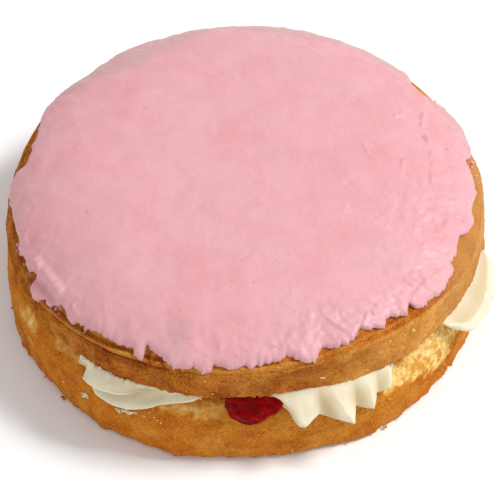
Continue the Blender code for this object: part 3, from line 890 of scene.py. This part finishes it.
def icing_thickness(x, y, r, deg, edge_far):
    """The icing's thickness: a soft swell, dips, scars, wrinkles and a rounded edge."""
    flat = level(x, y)
    rim = ease((r - 70.0) / 25.0)
    thick = ICING_THICK - 0.15 + 0.35 * noise(flat, 38.0, 53) + 0.22 * noise(flat, 15.0, 54)
    busy = 0.25 + rim * around(deg, ((-180, 0.5), (-120, 0.5), (-80, 0.8), (-40, 1.0), (20, 1.0), (60, 0.4)))
    thick = thick + busy * (0.32 * noise(flat, 5.0, 55) + 0.2 * noise(flat, 2.2, 56))
    across = level(x * 0.8 + y * 0.3, y - 0.7 * x)
    wrinkle = mound(x, y, 76, -26, 42.0) + 0.6 * mound(x, y, 30, -82, 30.0)
    thick = thick + wrinkle * (0.26 * noise(across, 2.2, 57) + 0.16 * noise(flat, 1.4, 64))
    for dip_x, dip_y, half, depth in DIPS:
        thick = thick - depth * mound(x, y, dip_x, dip_y, half)
    thick = thick + scar_height(x, y, flat) + fold_height(flat, r, deg)
    spike, _ = near_line(x, y, SPIKE_RIDGE)
    thick = thick + 0.4 * bump(spike, 0.0, 1.6)
    thick = np.clip(thick, 0.7, ICING_THICK + 0.55 + 1.2 * rim)
    round_off = around(deg, ((-170, 2.2), (-125, 3.0), (-85, 3.0), (-60, 2.0), (60, 2.2)))
    return thick * (0.28 + 0.72 * quarter(1.0 - edge_far / round_off))


def disc_faces(rings):
    """Triangles of a disc whose ring k has 6 k points, from one point in the middle."""
    faces = []
    first = [0] + [1 + 3 * k * (k - 1) for k in range(1, rings + 1)]
    for k in range(rings):
        inner, outer = first[k], first[k + 1]
        inner_count, outer_count = max(1, 6 * k), 6 * (k + 1)
        for side in range(6):
            for j in range(k + 1):
                a = outer + (side * (k + 1) + j) % outer_count
                b = outer + (side * (k + 1) + j + 1) % outer_count
                c = inner + (side * k + j) % inner_count
                faces.append((a, b, c))
                if j < k:
                    d = inner + (side * k + j + 1) % inner_count
                    faces.append((c, b, d))
    return faces


def thin_and_shaded_icing(x, y, r, deg, edge_far):
    """1 where the icing looks greyer: where it is so thin that the crust dulls it, and as painted shade at
    the far edge, which slopes from the light, and in a dimple.
    """
    flat = level(x, y)
    far_edge = 0.6 * ease((r - around(deg, THIN_SHADED_START) + 2.0 * noise(flat, 9.0, 63)) / 4.0)
    dimple = 0.55 * mound(x, y, -27, -83, 10.0)
    edge = 0.25 * ease(1.0 - edge_far / 2.0)
    return np.clip(far_edge + dimple + edge, 0.0, 1.0)


def icing_outline():
    """Radius and degree of the top's points: a disc of rings, then a finer band out to the edge."""
    counts = [1] + [6 * k for k in range(1, DISC_RINGS + 1)]
    r = np.repeat(DISC_RADIUS * np.arange(DISC_RINGS + 1) / DISC_RINGS, counts)
    deg = np.concatenate([even_degrees(n) for n in counts])
    degs = even_degrees(2 * counts[-1])
    share = (np.arange(1, BAND_ROWS + 1) / BAND_ROWS)[:, None]
    middle = 96.5
    band = DISC_RADIUS + (middle - DISC_RADIUS) * share + (ragged_edge(degs)[None, :] - middle) * share ** 2
    band_deg = leaned(degs[None, :], band)
    return np.concatenate((r, band.reshape(-1))), np.concatenate((deg, band_deg.reshape(-1))), degs


def doubling_faces(inner, outer, columns):
    """Triangles from a ring to one with twice its points, whose first points are inner and outer."""
    faces = []
    for i in range(columns):
        after = (i + 1) % columns
        a, b = inner + i, inner + after
        c, d, e = outer + 2 * i, outer + 2 * i + 1, outer + 2 * after
        faces += [(a, c, d), (a, d, b), (b, d, e)]
    return faces


def icing(material):
    r, deg, degs = icing_outline()
    x, y = flat_place(r, deg)
    far = edge_distance(x, y, deg)
    away = GAP + icing_thickness(x, y, r, deg, far)
    top_r, top_z = dome_offset(r, deg, away)
    top = np.stack((*flat_place(top_r, deg), top_z), axis=-1)
    edge = ragged_edge(degs)
    edge_degs = leaned(degs, edge)
    rings = [dome_offset(edge + out, edge_degs, lift) for out, lift in UNDER_RINGS]
    low = ring_points(rings, edge_degs)
    points = np.vstack((top, low.reshape(-1, 3), [[0.0, 0.0, DOME_HEIGHT + 0.1]]))
    disc = 1 + 3 * DISC_RINGS * (DISC_RINGS + 1)
    faces = disc_faces(DISC_RINGS)
    faces += doubling_faces(disc - 6 * DISC_RINGS, disc, 6 * DISC_RINGS)
    columns = len(degs)
    faces += grid_faces(BAND_ROWS + len(rings), columns, disc)
    last = len(points) - 1
    end = last - columns
    faces += [(end + c, last, end + (c + 1) % columns) for c in range(columns)]
    under = np.zeros(len(points) - len(top))
    masks = {"thin": np.concatenate((thin_and_shaded_icing(x, y, r, deg, far), under)),
             "dent_shade": np.concatenate((icing_dent_shade(x, y, r, deg), under))}
    return shape_of("icing_top", points, faces, material, masks)


# Jam and cream


def section_grid(sections, rows):
    """Rings read off sections of (radius, height) points: an array of points, columns and 2."""
    count = len(sections)
    at = np.linspace(0.0, count - 1.0, rows)
    return flow(at, np.arange(count), sections)


def mirror_degrees(deg, turn):
    """The degree at the front that the hidden back repeats."""
    return turned(turn - deg)


def front_degrees(deg, span, turn):
    """The front degree whose form shows at this column, and 1 where there is one."""
    deg = turned(deg)
    other = mirror_degrees(deg, turn)
    here = (deg >= span[0]) & (deg <= span[1])
    there = (other >= span[0]) & (other <= span[1])
    return np.where(here, deg, other), here | there


def shown(degs, span, turn, soft):
    """The front degree whose form shows at each column, and its strength, eased at its two ends."""
    deg, here = front_degrees(degs, span, turn)
    return deg, inside(deg, span, soft) * here


def laid_over(sections, degs, span, turn, section):
    """The sections with a form laid over them where it shows."""
    deg, strength = shown(degs, span, turn, 1.0)
    weight = strength[None, :, None]
    return sections * (1.0 - weight) + section(deg) * weight


def gap_section(deg, radius, low, high, turns):
    """A rounded edge of filling that stays in the gap between the sponges: turns + 4 points."""
    middle = 0.5 * (low + high)
    half = 0.5 * (high - low)
    points = [(radius - 8.0, high), (radius - 3.0, high)]
    for turn in np.linspace(80.0, -80.0, turns):
        r = radius + half * math.cos(math.radians(turn))
        points.append((r, middle + half * math.sin(math.radians(turn))))
    points += [(radius - 3.0, low), (radius - 8.0, low)]
    return stacked(deg, points)


def stacked(deg, points):
    """A section from points whose radius and height may change with the degree."""
    return np.array([[r + 0.0 * deg, z + 0.0 * deg] for r, z in points]).transpose(0, 2, 1)


def under_rim(out, deg, lap):
    """The cream's first 5 points: in the gap, then up inside the rim. A torn lap climbs the rim's side."""
    edge = around(deg, UPPER_RADIUS)
    rim = around(deg, RIM_HEIGHT)
    shows = ease((out - edge + 0.8) / 1.6)
    film = 0.8 * ease(lap / 0.25)
    return [(CREAM_ROOT, CREAM_ROOF), (91.0, 38.0), (edge - 4.5, rim - 0.3),
            (edge - 2.4 - 1.3 * (1.0 - shows), rim - 0.4 + 1.0 * shows),
            (edge - 1.0 + film - 2.4 * (1.0 - shows), rim - 0.5 + (2.4 + lap) * shows)]


def on_bed(out, low_z, deg):
    """The radius where a lip's underside, run straight in, meets the lower sponge."""
    up = 1.0 - np.clip((LOWER_HEIGHT - low_z + 1.0) / SHOULDER_DROP, 0.0, 1.0)
    meets = SHOULDER_START + (lower_radius(deg) - SHOULDER_START) * np.sqrt(1.0 - up ** 2)
    return np.minimum(np.minimum(out - 1.0, lower_radius(deg) - 1.6), meets)


def ragged_lap(deg):
    """How far the cream's torn edge climbs the rim above the left flaps."""
    round_it = on_circle(100.0, deg)
    torn = noise(round_it, 2.4, 71) + 0.6 * noise(round_it, 1.0, 72)
    return (0.2 + 1.1 * ease((torn + 0.3) / 0.7)) * ease((-110.0 - deg) / 8.0)


FLAP_UPPER = (
    (-131.0, 100.4), (-130.5, 102.3), (-129.6, 102.7), (-128.3, 102.6), (-127.9, 103.2), (-127.5, 106.0),
    (-126.6, 107.2), (-125.6, 107.6), (-124.5, 107.8), (-122.5, 107.7), (-120.5, 106.9), (-118.5, 106.0),
    (-116.6, 104.8), (-114.9, 103.2), (-113.4, 101.9), (-110.5, 100.2), (-108, 98.6))
FLAP_LOWER = (
    (-131.0, 99.0), (-127.2, 101.4), (-126.2, 103.8), (-125.2, 105.6), (-123.9, 106.7), (-122, 107.4),
    (-120.5, 107.7), (-117, 107.5), (-115.3, 106.8), (-114, 106.1), (-112.7, 105.2), (-110, 103.0),
    (-106.7, 101.2), (-103.6, 100.4), (-101.5, 99.4), (-100, 97.6))
FLAP_LOW_Z = (
    (-131.0, 33.6), (-128.4, 33.2), (-127.2, 30.4), (-125.6, 27.8), (-122, 27.0), (-117, 27.3),
    (-114, 27.8), (-112, 28.6), (-110, 30.0), (-106.7, 31.8), (-103.6, 33.6), (-101.5, 34.8), (-100, 35.6))


def flap_section(deg):
    """Two stacked flaps, the upper lip over the lower one."""
    rim = around(deg, RIM_HEIGHT)
    upper = knots(deg, FLAP_UPPER)
    lower = knots(deg, FLAP_LOWER)
    low_z = knots(deg, FLAP_LOW_Z)
    lap = ragged_lap(deg)
    top = under_rim(np.maximum(upper, lower), deg, lap)
    root, root_z = top[-1]
    root_z = root_z - lap
    size = ease((upper - root - 0.3) / 5.0)
    up_z = rim - 0.3 - 1.7 * size
    lower = np.minimum(lower, upper + 6.0)
    bed_r = on_bed(np.maximum(lower, root - 0.6), low_z, deg)

    def beyond(back, r):
        return np.maximum(r, root - back)

    return stacked(deg, top + [
        (beyond(-0.35, 0.6 * root + 0.4 * upper), 0.6 * root_z + 0.4 * (up_z + 0.9 * size)),
        (beyond(0.0, upper - 1.2), up_z + 0.7 * size), (beyond(0.0, upper - 0.25), up_z + 0.3 * size),
        (beyond(0.0, upper), up_z - 0.1 * size), (beyond(0.2, upper - 0.6), up_z - 0.6 * size),
        (beyond(0.6, upper - 3.4), up_z - 0.9 * size - 0.1), (beyond(0.6, lower - 3.2), low_z + 2.4),
        (beyond(0.6, lower - 0.9), low_z + 1.0), (beyond(0.6, lower), low_z),
        (beyond(0.8, lower - 0.8), low_z - 0.8),
        (bed_r, bed(bed_r, deg, 0.1)), (CREAM_ROOT, CREAM_BED)])


SHELL_BODY = (
    (-87, 96.5), (-85, 98.6), (-83.2, 99.6), (-81.8, 99.9), (-80.8, 100.2), (-79.9, 101.0),
    (-79.1, 102.8), (-78.2, 104.0), (-76.8, 104.2), (-74, 103.8), (-70, 104.3), (-64, 104.6),
    (-60, 103.6), (-57, 102.6), (-55.2, 101.5), (-53.7, 98.6))
SHELL_LOW_Z = (
    (-87, 36.0), (-85, 35.6), (-83.2, 34.8), (-81.8, 33.6), (-80.8, 31.8), (-79.9, 30.0), (-79, 28.4),
    (-77.8, 27.8), (-74, 28.8), (-70, 28.6), (-66, 28.2), (-60, 28.4), (-57, 29.4), (-55, 30.8),
    (-53.2, 33.6))
# Valleys and crests of the shell, each as (degrees at the rim, degrees at the tip, height)
SHELL_LINES = (
    (-85.0, -80.2, 0.0), (-83.0, -78.0, 3.0), (-81.8, -76.8, 3.2), (-72.6, -73.4, 0.0),
    (-70.2, -66.6, 6.8), (-64.4, -65.1, 0.0), (-61.2, -61.4, 4.8), (-58.2, -59.3, 0.0),
    (-55.4, -56.0, 2.6), (-53.4, -53.6, 1.0), (-52.0, -52.0, 0.0))
# Its faces turned from the light, which get painted shade, each as (degrees at the rim, degrees at the tip,
# strength)
SHELL_SHADES = ((-72.2, -71.4, 1.0), (-64.4, -63.9, 0.9), (-58.0, -58.2, 0.8), (-84.6, -79.4, 0.6))


def shell_section(deg):
    """The front shell without its crests: a slope from the rim down to a lip over the shoulder."""
    out = knots(deg, SHELL_BODY)
    top = under_rim(out, deg, 0.0)
    root, root_z = top[-1]
    low_z = np.minimum(knots(deg, SHELL_LOW_Z), root_z - 0.2)
    bed_r = on_bed(out, low_z, deg)
    body = []
    for share in (0.17, 0.35, 0.52, 0.7, 0.86, 1.0):
        r = root + (np.maximum(out, root) - root) * (1.0 - (1.0 - share) ** 1.3)
        body.append((r, root_z + (low_z - root_z) * share))
    return stacked(deg, top + body + [
        (np.maximum(out - 0.3, root - 0.5), low_z - 0.7), (np.maximum(out - 1.2, root - 1.0), low_z - 1.0),
        (bed_r, bed(bed_r, deg, 0.1)), (bed_r - 2.0, bed(bed_r - 2.0, deg, 0.1)),
        (bed_r - 5.0, bed(bed_r - 5.0, deg, 0.1)), (CREAM_ROOT, CREAM_BED)])


def shell_crests(deg, share):
    """Height of the crests, where share is 0 at the rim and 1 at the lip, for each row."""
    height = np.zeros((len(share), len(deg)))
    for row, part in enumerate(share):
        at = [rim + (tip - rim) * part for rim, tip, _ in SHELL_LINES]
        tall = [high * (0.3 + 0.7 * part) for _, _, high in SHELL_LINES]
        height[row] = np.interp(deg, at, tall)
    return height


LOBE_OUT = (
    (-37.4, 98.5), (-36.8, 101.0), (-35.6, 103.4), (-34.4, 105.6), (-33.2, 108.2), (-32, 109.8),
    (-30.6, 110.6), (-27.8, 110.9), (-25, 111.4), (-22.3, 110.6), (-21.4, 111.3), (-20.4, 110.2),
    (-17.6, 109.0), (-15.2, 108.0), (-13.4, 106.6), (-12.3, 104.4), (-11.5, 101.4), (-10.8, 98.0))
LOBE_REACH = 10.4
LOBE_STEP = ((-36, 0.72), (-28, 0.70), (-22, 0.62), (-15, 0.5), (-8, 0.46))


def lobe_section(deg):
    """The big lobe at the right: a shallow scoop inside a thick, pale outer crescent."""
    out = knots(deg, LOBE_OUT)
    top = under_rim(out, deg, 0.0)
    root, root_z = top[-1]
    size = np.clip((out - root) / LOBE_REACH, 0.0, 1.1)
    step = knots(deg, LOBE_STEP)
    bed_r = on_bed(root + 6.4 * size, root_z - 10.4 * size, deg)
    rise = 0.15 * ease((deg + 34.0) / 8.0)

    def at(share, drop):
        return root + share * LOBE_REACH * size, root_z - drop * size

    return stacked(deg, top + [
        at(0.3 * step, 1.5), at(0.65 * step, 2.9), at(0.92 * step, 3.8), at(step, 4.0),
        at(step + 0.25 * (1.0 - step), 4.3 - rise), at(step + 0.55 * (1.0 - step), 5.0 - rise),
        at(0.96, 6.2), at(1.0, 7.4), at(0.9, 9.2), at(0.6, 10.4),
        (bed_r, bed(bed_r, deg, 0.1)), (CREAM_ROOT, CREAM_BED)])


def cream_sections(degs):
    """The cream's section at each column."""
    low = np.full(len(degs), CREAM_BED)
    sections = gap_section(degs, CREAM_RADIUS, low, np.full(len(degs), CREAM_ROOF - 2.0), 13)
    _, jam = shown(degs, (JAM_BLOB[0] - 3.0, JAM_BLOB[1] + 3.0), JAM_TURN, 3.0)
    sections[:, :, 0] -= 10.0 * jam
    sections = laid_over(sections, degs, LEFT_FLAPS, FLAPS_TURN, flap_section)
    sections = laid_over(sections, degs, FRONT_SHELL, SHELL_TURN, shell_section)
    return laid_over(sections, degs, RIGHT_LOBE, LOBE_TURN, lobe_section)


def cream_columns():
    """Fine columns where cream shows and coarse ones where it doesn't."""
    spans = []
    for span, turn in ((LEFT_FLAPS, FLAPS_TURN), (FRONT_SHELL, SHELL_TURN), (RIGHT_LOBE, LOBE_TURN)):
        spans.append((span[0] - 1.0, span[1] + 1.0))
        back = sorted(float(mirror_degrees(end, turn)) for end in span)
        spans.append((back[0] - 1.0, back[1] + 1.0))
    spans.sort()
    zones = []
    for i, (start, end) in enumerate(spans):
        following = spans[i + 1][0] if i + 1 < len(spans) else spans[0][0] + 360.0
        zones.append((start, end, 0.28))
        zones.append((end, following, 1.5))
    return degrees_by_zone(zones)


def lip_share(at):
    """0 at the section point where the cream leaves the rim, and 1 six points on, at the lip."""
    return np.clip((at - 4.0) / 6.0, 0.0, 1.0)


def cream_painted_shade(degs, at):
    """1 where painted shade tints the cream yellower and darker: the lobe's scoop, under the flaps' lip and
    rim, and the shell's faces turned from the light.
    """
    scoop = np.outer(bump(at, 6.4, 3.8), shown(degs, RIGHT_LOBE, LOBE_TURN, 5.0)[1])
    flaps, on_flaps = front_degrees(degs, LEFT_FLAPS, FLAPS_TURN)
    groove = np.outer(bump(at, 10.4, 1.5), inside(flaps, LEFT_FLAPS, 6.0) * on_flaps)
    right = np.outer(bump(at, 5.0, 2.0), inside(flaps, (-120, -98), 8.0) * on_flaps)
    shell, on_shell = front_degrees(degs, FRONT_SHELL, SHELL_TURN)
    valleys = np.zeros((len(at), len(degs)))
    for rim, tip, deep in SHELL_SHADES:
        middle = (rim + (tip - rim) * lip_share(at))[:, None]
        valleys = np.maximum(valleys, deep * bump(shell[None, :], middle, 3.2))
    valleys = valleys * np.outer(bump(at, 8.5, 6.0), on_shell)
    return np.clip(0.7 * scoop + 0.5 * groove + 0.5 * right + valleys, 0.0, 1.0)


def cream_filling(material):
    degs = cream_columns()
    grid = section_grid(cream_sections(degs), CREAM_ROWS)
    shell, strength = shown(degs, FRONT_SHELL, SHELL_TURN, 1.5)
    at = np.linspace(0.0, CREAM_POINTS - 1.0, CREAM_ROWS)
    share = lip_share(at)
    crests = shell_crests(shell, share) * strength
    crests = crests * (ease((at - 4.0) / 1.6) * ease((13.0 - at) / 2.2))[:, None]
    tilt = np.radians(-12.0 - 20.0 * share)[:, None]
    grid[:, :, 0] += crests * np.cos(tilt)
    grid[:, :, 1] += crests * np.sin(tilt)
    points = ring_points([(row[:, 0], row[:, 1]) for row in grid], degs)
    points = relief(points, 0.10 * noise(points, 3.0, 61) + 0.05 * noise(points, 1.2, 62))
    painted_shade = cream_painted_shade(degs, at)
    return closed_grid("cream", points, CREAM_ROOF, CREAM_BED, material, {"painted_shade": painted_shade})


JAM_OUT = (
    (-94.9, 97.5), (-94.2, 99.6), (-93.4, 101.0), (-91.6, 102.2), (-89.5, 102.9), (-87, 102.8),
    (-84.5, 102.2), (-82.0, 101.4), (-80.5, 99.0))
JAM_LOW_Z = (
    (-94.9, 34.5), (-94.2, 31.6), (-93.4, 29.8), (-91.6, 27.4), (-89.8, 25.8), (-87.5, 26.4),
    (-85.0, 28.8), (-82.5, 32.0), (-80.5, 35.0))


def jam_section(deg):
    """The jam's blob, from under the rim down over the shoulder."""
    rim = around(deg, RIM_HEIGHT)
    root = around(deg, UPPER_RADIUS) - 0.9
    out = knots(deg, JAM_OUT)
    low_z = np.minimum(knots(deg, JAM_LOW_Z), rim - 0.4)
    body = []
    for share in (0.0, 0.2, 0.4, 0.6, 0.8, 1.0):
        r = root + (np.maximum(out, root) - root) * math.sin(0.5 * math.pi * share) ** 0.8
        body.append((r, rim + 0.9 + (low_z - rim - 0.9) * share))
    tail = np.minimum(out - 1.2, lower_radius(deg) - 0.6)
    return stacked(deg, [(72.0, LOWER_HEIGHT + 2.1), (88.0, 36.0), (root - 3.0, rim - 0.3)] + body + [
        (out - 0.4, low_z - 0.7), (tail, np.maximum(low_z - 0.9, bed(tail, deg, 0.05))),
        (tail - 2.0, bed(tail - 2.0, deg, 0.05)), (tail - 5.0, bed(tail - 5.0, deg, 0.05)),
        (88.0, LOWER_HEIGHT + 0.1), (72.0, LOWER_HEIGHT + 0.1)])


def jam_layer(material):
    back = sorted(float(mirror_degrees(end, JAM_TURN)) for end in JAM_BLOB)
    degs = degrees_by_zone(((*JAM_BLOB, 0.15), (JAM_BLOB[1], back[0], 2.0), (back[0], back[1], 0.2),
                            (back[1], JAM_BLOB[0] + 360.0, 3.0)))
    low = np.full(len(degs), LOWER_HEIGHT + 0.2)
    sections = gap_section(degs, JAM_RADIUS, low, low + JAM_THICK, 11)
    grid = section_grid(laid_over(sections, degs, JAM_BLOB, JAM_TURN, jam_section), JAM_ROWS)
    points = ring_points([(row[:, 0], row[:, 1]) for row in grid], degs)
    lumps = 0.45 * noise(points, 4.0, 65) + 0.25 * noise(points, 1.8, 66) + 0.06 * noise(points, 0.9, 67)
    points = relief(points, lumps * shown(degs, JAM_BLOB, JAM_TURN, 1.0)[1])
    return closed_grid("jam", points, LOWER_HEIGHT + 2.0, LOWER_HEIGHT + 0.2, material)


# Crumbs and small bits

# Each as (degrees, height, width, shape seed), or with a radius in the height's place on the skin
SKIN_CRUMBS = ((31.6, 97.2, 2.4, 93), (29.8, 97.4, 1.8, 94))
UPPER_CRUMBS = (
    (-48.8, 52.1, 0.9, 1), (-72.1, 45.1, 1.1, 2), (-97.2, 41.3, 0.7, 3), (-55.6, 54.0, 0.7, 4),
    (-63.0, 47.5, 0.5, 5), (-34.0, 45.0, 0.5, 6), (-81.0, 43.5, 0.5, 7), (20.0, 44.0, 0.8, 8),
    (64.0, 42.0, 0.7, 9), (112.0, 43.0, 0.9, 10), (158.0, 40.0, 0.8, 11))
UPPER_FLAKES = (
    (-98.8, 49.2, 1.4, 12), (-94.5, 48.7, 1.0, 13), (-88.0, 38.8, 1.1, 14), (-84.2, 38.4, 1.0, 15),
    (-86.4, 37.6, 1.2, 16), (-66.0, 38.6, 0.8, 17), (95.0, 46.0, 1.2, 18), (140.0, 37.0, 1.1, 19))
LOWER_CRUMBS = (
    (-32.8, 28.1, 0.8, 21), (-33.1, 25.9, 0.6, 22), (-41.3, 31.6, 1.2, 23), (-40.6, 32.0, 0.9, 24),
    (-39.7, 28.1, 0.7, 25), (-36.6, 10.4, 0.7, 26), (-56.2, 21.9, 0.9, 27), (-56.0, 20.3, 0.6, 28),
    (-78.9, 18.7, 0.7, 29), (-79.2, 4.4, 0.9, 30), (-135.3, 14.3, 0.8, 31), (-135.1, 9.1, 0.5, 32),
    (-111.5, 24.8, 0.7, 33), (-110.2, 23.4, 0.6, 34), (-109.4, 22.6, 0.8, 35), (-108.6, 21.8, 0.7, 36),
    (-52.0, 2.6, 0.9, 37), (-57.6, 3.4, 0.7, 38), (-34.5, 4.6, 0.9, 39), (-47.0, 24.5, 0.5, 40),
    (28.0, 27.0, 0.8, 41), (71.0, 12.0, 0.7, 42), (103.0, 25.0, 0.9, 43), (139.0, 18.0, 0.7, 44),
    (170.0, 8.0, 0.8, 45))
LOWER_FLAKES = (
    (-163.1, 8.8, 0.9, 46), (-136.9, 1.0, 1.3, 47), (-136.2, 0.8, 1.0, 57), (-143.6, 2.4, 0.9, 48),
    (-151.0, 3.0, 0.9, 49), (-106.9, 13.0, 0.7, 50), (-56.4, 1.4, 1.0, 51), (-33.0, 3.2, 1.0, 52),
    (-66.0, 1.6, 0.8, 53), (55.0, 2.0, 1.1, 54), (88.0, 3.0, 0.9, 55), (150.0, 1.6, 1.0, 56))
TORN_CREAM = (
    (-130.9, 35.0, 1.3, 101), (-130.2, 35.6, 1.6, 102), (-129.5, 36.5, 1.6, 103),
    (-128.6, 37.2, 1.7, 104), (-127.4, 37.5, 1.5, 105), (-126.1, 37.1, 1.3, 106),
    (-124.6, 37.5, 1.6, 107), (-123.2, 37.2, 1.3, 108), (-121.9, 37.6, 1.6, 109),
    (-119.9, 37.0, 1.3, 110), (-118.4, 37.7, 1.4, 111), (-116.2, 37.6, 1.2, 112))
CREAM_BITS = (
    (-129.3, 17.0, 1.2, 61), (-128.5, 17.3, 1.5, 62), (-127.8, 18.2, 1.6, 63), (-128.8, 15.6, 1.0, 64),
    (-127.4, 16.8, 1.0, 65), (-119.4, 20.2, 1.3, 66), (-118.7, 20.0, 1.7, 67), (-117.9, 20.8, 1.6, 68),
    (-117.1, 21.6, 1.4, 69), (-116.3, 21.4, 1.6, 70), (-115.5, 22.0, 1.5, 71), (-114.6, 22.6, 1.1, 72),
    (-112.6, 22.4, 0.8, 73), (-75.9, 22.4, 1.0, 74), (-75.2, 22.9, 0.7, 75), (118.0, 20.0, 1.2, 76),
    (80.0, 21.0, 1.0, 77))
PINK_BITS = (
    (-165.0, 97.4, 1.3, 81), (-163.4, 98.0, 1.0, 82), (-161.6, 97.2, 1.2, 83), (-160.2, 98.2, 0.8, 84),
    (-158.4, 97.4, 0.9, 85), (-142.6, 98.0, 1.1, 86), (-141.2, 97.2, 1.3, 87), (-139.6, 97.8, 0.9, 88),
    (-130.6, 97.6, 0.8, 89), (9.2, 97.6, 1.5, 90), (7.4, 97.0, 1.1, 91), (4.6, 98.0, 1.5, 92),
    (2.4, 98.2, 1.0, 95))


def lump(width, seed):
    """Points and faces of one small irregular crumb round the origin."""
    ends = np.array([(1, 0, 0), (-1, 0, 0), (0, 1, 0), (0, -1, 0), (0, 0, 1), (0, 0, -1)], float)
    faces = [(0, 2, 4), (2, 1, 4), (1, 3, 4), (3, 0, 4), (2, 0, 5), (1, 2, 5), (3, 1, 5), (0, 3, 5)]
    points = [tuple(p) for p in ends]
    for _ in range(2):
        finer = []
        index = {}
        for a, b, c in faces:
            mids = []
            for p, q in ((a, b), (b, c), (c, a)):
                key = (min(p, q), max(p, q))
                if key not in index:
                    index[key] = len(points)
                    middle = np.add(points[p], points[q])
                    points.append(tuple(middle / np.linalg.norm(middle)))
                mids.append(index[key])
            ab, bc, ca = mids
            finer += [(a, ab, ca), (ab, b, bc), (ca, bc, c), (ab, bc, ca)]
        faces = finer
    ball = np.array(points)
    rough = 1.0 + 0.45 * noise(ball * 2.0, 1.6, seed) + 0.3 * noise(ball * 2.0, 0.7, seed + 200)
    stretch = 1.0 + 0.35 * np.array([math.sin(seed), math.sin(2.1 * seed), -0.6])
    return ball * rough[:, None] * stretch * 0.5 * width, faces


def scattered(name, groups, material):
    """One piece of many small lumps, each set at the place for its degree and second value."""
    points = []
    faces = []
    for bits, place in groups:
        for deg, where, width, seed in bits:
            ball, ball_faces = lump(width, seed)
            first = sum(len(p) for p in points)
            r, z = place(deg, where, width)
            points.append(ball + np.array([*flat_place(r, deg), z]))
            faces += [(a + first, b + first, c + first) for a, b, c in ball_faces]
    return shape_of(name, np.vstack(points), faces, material)


def on_upper_side(deg, z, width):
    """A place on the upper sponge's side, or on its skin just over the crease."""
    crease = float(around(deg, CREASE_HEIGHT))
    if z > crease - 1.0:
        return DOME_RADIUS - 0.6 - 0.4 * (z - crease), z + 0.1
    rim = float(around(deg, RIM_HEIGHT))
    edge = float(around(deg, UPPER_RADIUS))
    low = max(0.0, 1.0 - (z - rim) / (RIM_ROUND * 0.8))
    return edge - RIM_ROUND * (1.0 - math.sqrt(1.0 - low ** 2)) + 0.2 * width, z


def on_lower_side(deg, z, width):
    """A place on the lower sponge's side or shoulder."""
    edge = float(lower_radius(deg))
    up = 1.0 - max(0.0, min(1.0, (LOWER_HEIGHT - z) / SHOULDER_DROP))
    r = SHOULDER_START + (edge - SHOULDER_START) * math.sqrt(1.0 - up ** 2)
    return r + 0.2 * width, z


def on_skin(deg, r, width):
    """A place on the upper sponge's skin, at a radius."""
    out, z = dome_offset(np.array(r), np.array(float(deg)), 0.15 * width)
    return float(out), float(z)


def small_bits(materials):
    """Crumbs, flakes of crust, and bits of cream and icing: one piece for each kind."""
    crumb = crumb_material("crumbs", linear(228, 190, 120), linear(246, 222, 170))
    flake = crumb_material("crust_flakes", linear(176, 100, 24), linear(222, 156, 70))
    crumbs = ((UPPER_CRUMBS, on_upper_side), (SKIN_CRUMBS, on_skin), (LOWER_CRUMBS, on_lower_side))
    flakes = ((UPPER_FLAKES, on_upper_side), (LOWER_FLAKES, on_lower_side))
    cream = ((CREAM_BITS, on_lower_side), (TORN_CREAM, on_upper_side))
    kinds = (("crumbs", crumbs, crumb, "sponge_lower"),
             ("crust_flakes", flakes, flake, "sponge_upper"),
             ("cream_bits", cream, materials["cream_filling"], "cream_filling"),
             ("icing_bits", ((PINK_BITS, on_skin),), materials["icing"], "icing"))
    for name, groups, material, slot in kinds:
        piece = scattered(name, groups, material)
        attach(piece, "root")


# Stage


def floor_and_light():
    """A pale floor, a soft key light from the right and an even white surround."""
    size = 3.0
    mesh = bpy.data.meshes.new("floor")
    corners = [(-size, -size, 0.0), (size, -size, 0.0), (size, size, 0.0), (-size, size, 0.0)]
    mesh.from_pydata(corners, [], [(0, 1, 2, 3)])
    floor = bpy.data.objects.new("floor", mesh)
    bpy.context.scene.collection.objects.link(floor)
    look = Look("floor", 0.9)
    look.shader.inputs["Base Color"].default_value = (FLOOR_WHITE, FLOOR_WHITE, FLOOR_WHITE, 1.0)
    mesh.materials.append(look.material)
    world = bpy.data.worlds.new("surround")
    world.use_nodes = True
    world.node_tree.nodes["Background"].inputs["Color"].default_value = (1.0, 1.0, 1.0, 1.0)
    world.node_tree.nodes["Background"].inputs["Strength"].default_value = SURROUND
    bpy.context.scene.world = world
    soft_light("key", KEY_PLACE, 0.55, KEY_POWER)
    soft_light("fill", FILL_PLACE, 0.8, FILL_POWER)


def soft_light(name, place, size, power):
    """A square soft light that faces the middle of the cake."""
    lamp = bpy.data.lights.new(name, "AREA")
    lamp.size = size
    lamp.energy = power
    light = bpy.data.objects.new(name, lamp)
    light.location = place
    x, y, z = place
    light.rotation_euler = (math.atan2(math.hypot(x, y), z - 0.04), 0.0, math.atan2(x, -y))
    bpy.context.scene.collection.objects.link(light)


def camera():
    """The photo's view: 840 mm away, 50 degrees up, with a long lens."""
    data = bpy.data.cameras.new("camera")
    data.lens = LENS
    data.sensor_width = 36.0
    seen = bpy.data.objects.new("camera", data)
    up = math.radians(CAMERA_UP)
    seen.location = (CAMERA_RIGHT, -CAMERA_AWAY * math.cos(up), CAMERA_AWAY * math.sin(up))
    seen.rotation_euler = (math.radians(CAMERA_TILT), 0.0, 0.0)
    bpy.context.scene.collection.objects.link(seen)
    bpy.context.scene.camera = seen


def main():
    materials = {}
    for node, make, look in (("sponge_lower", sponge_lower, lower_sponge_material),
                             ("jam_layer", jam_layer, jam_material),
                             ("cream_filling", cream_filling, cream_material),
                             ("sponge_upper", sponge_upper, upper_sponge_material),
                             ("icing", icing, icing_material)):
        materials[node] = look()
        piece = make(materials[node])
        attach(piece, "root")
        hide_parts(node)
    small_bits(materials)
    floor_and_light()
    camera()
    bpy.context.scene.view_settings.view_transform = "Standard"


main()
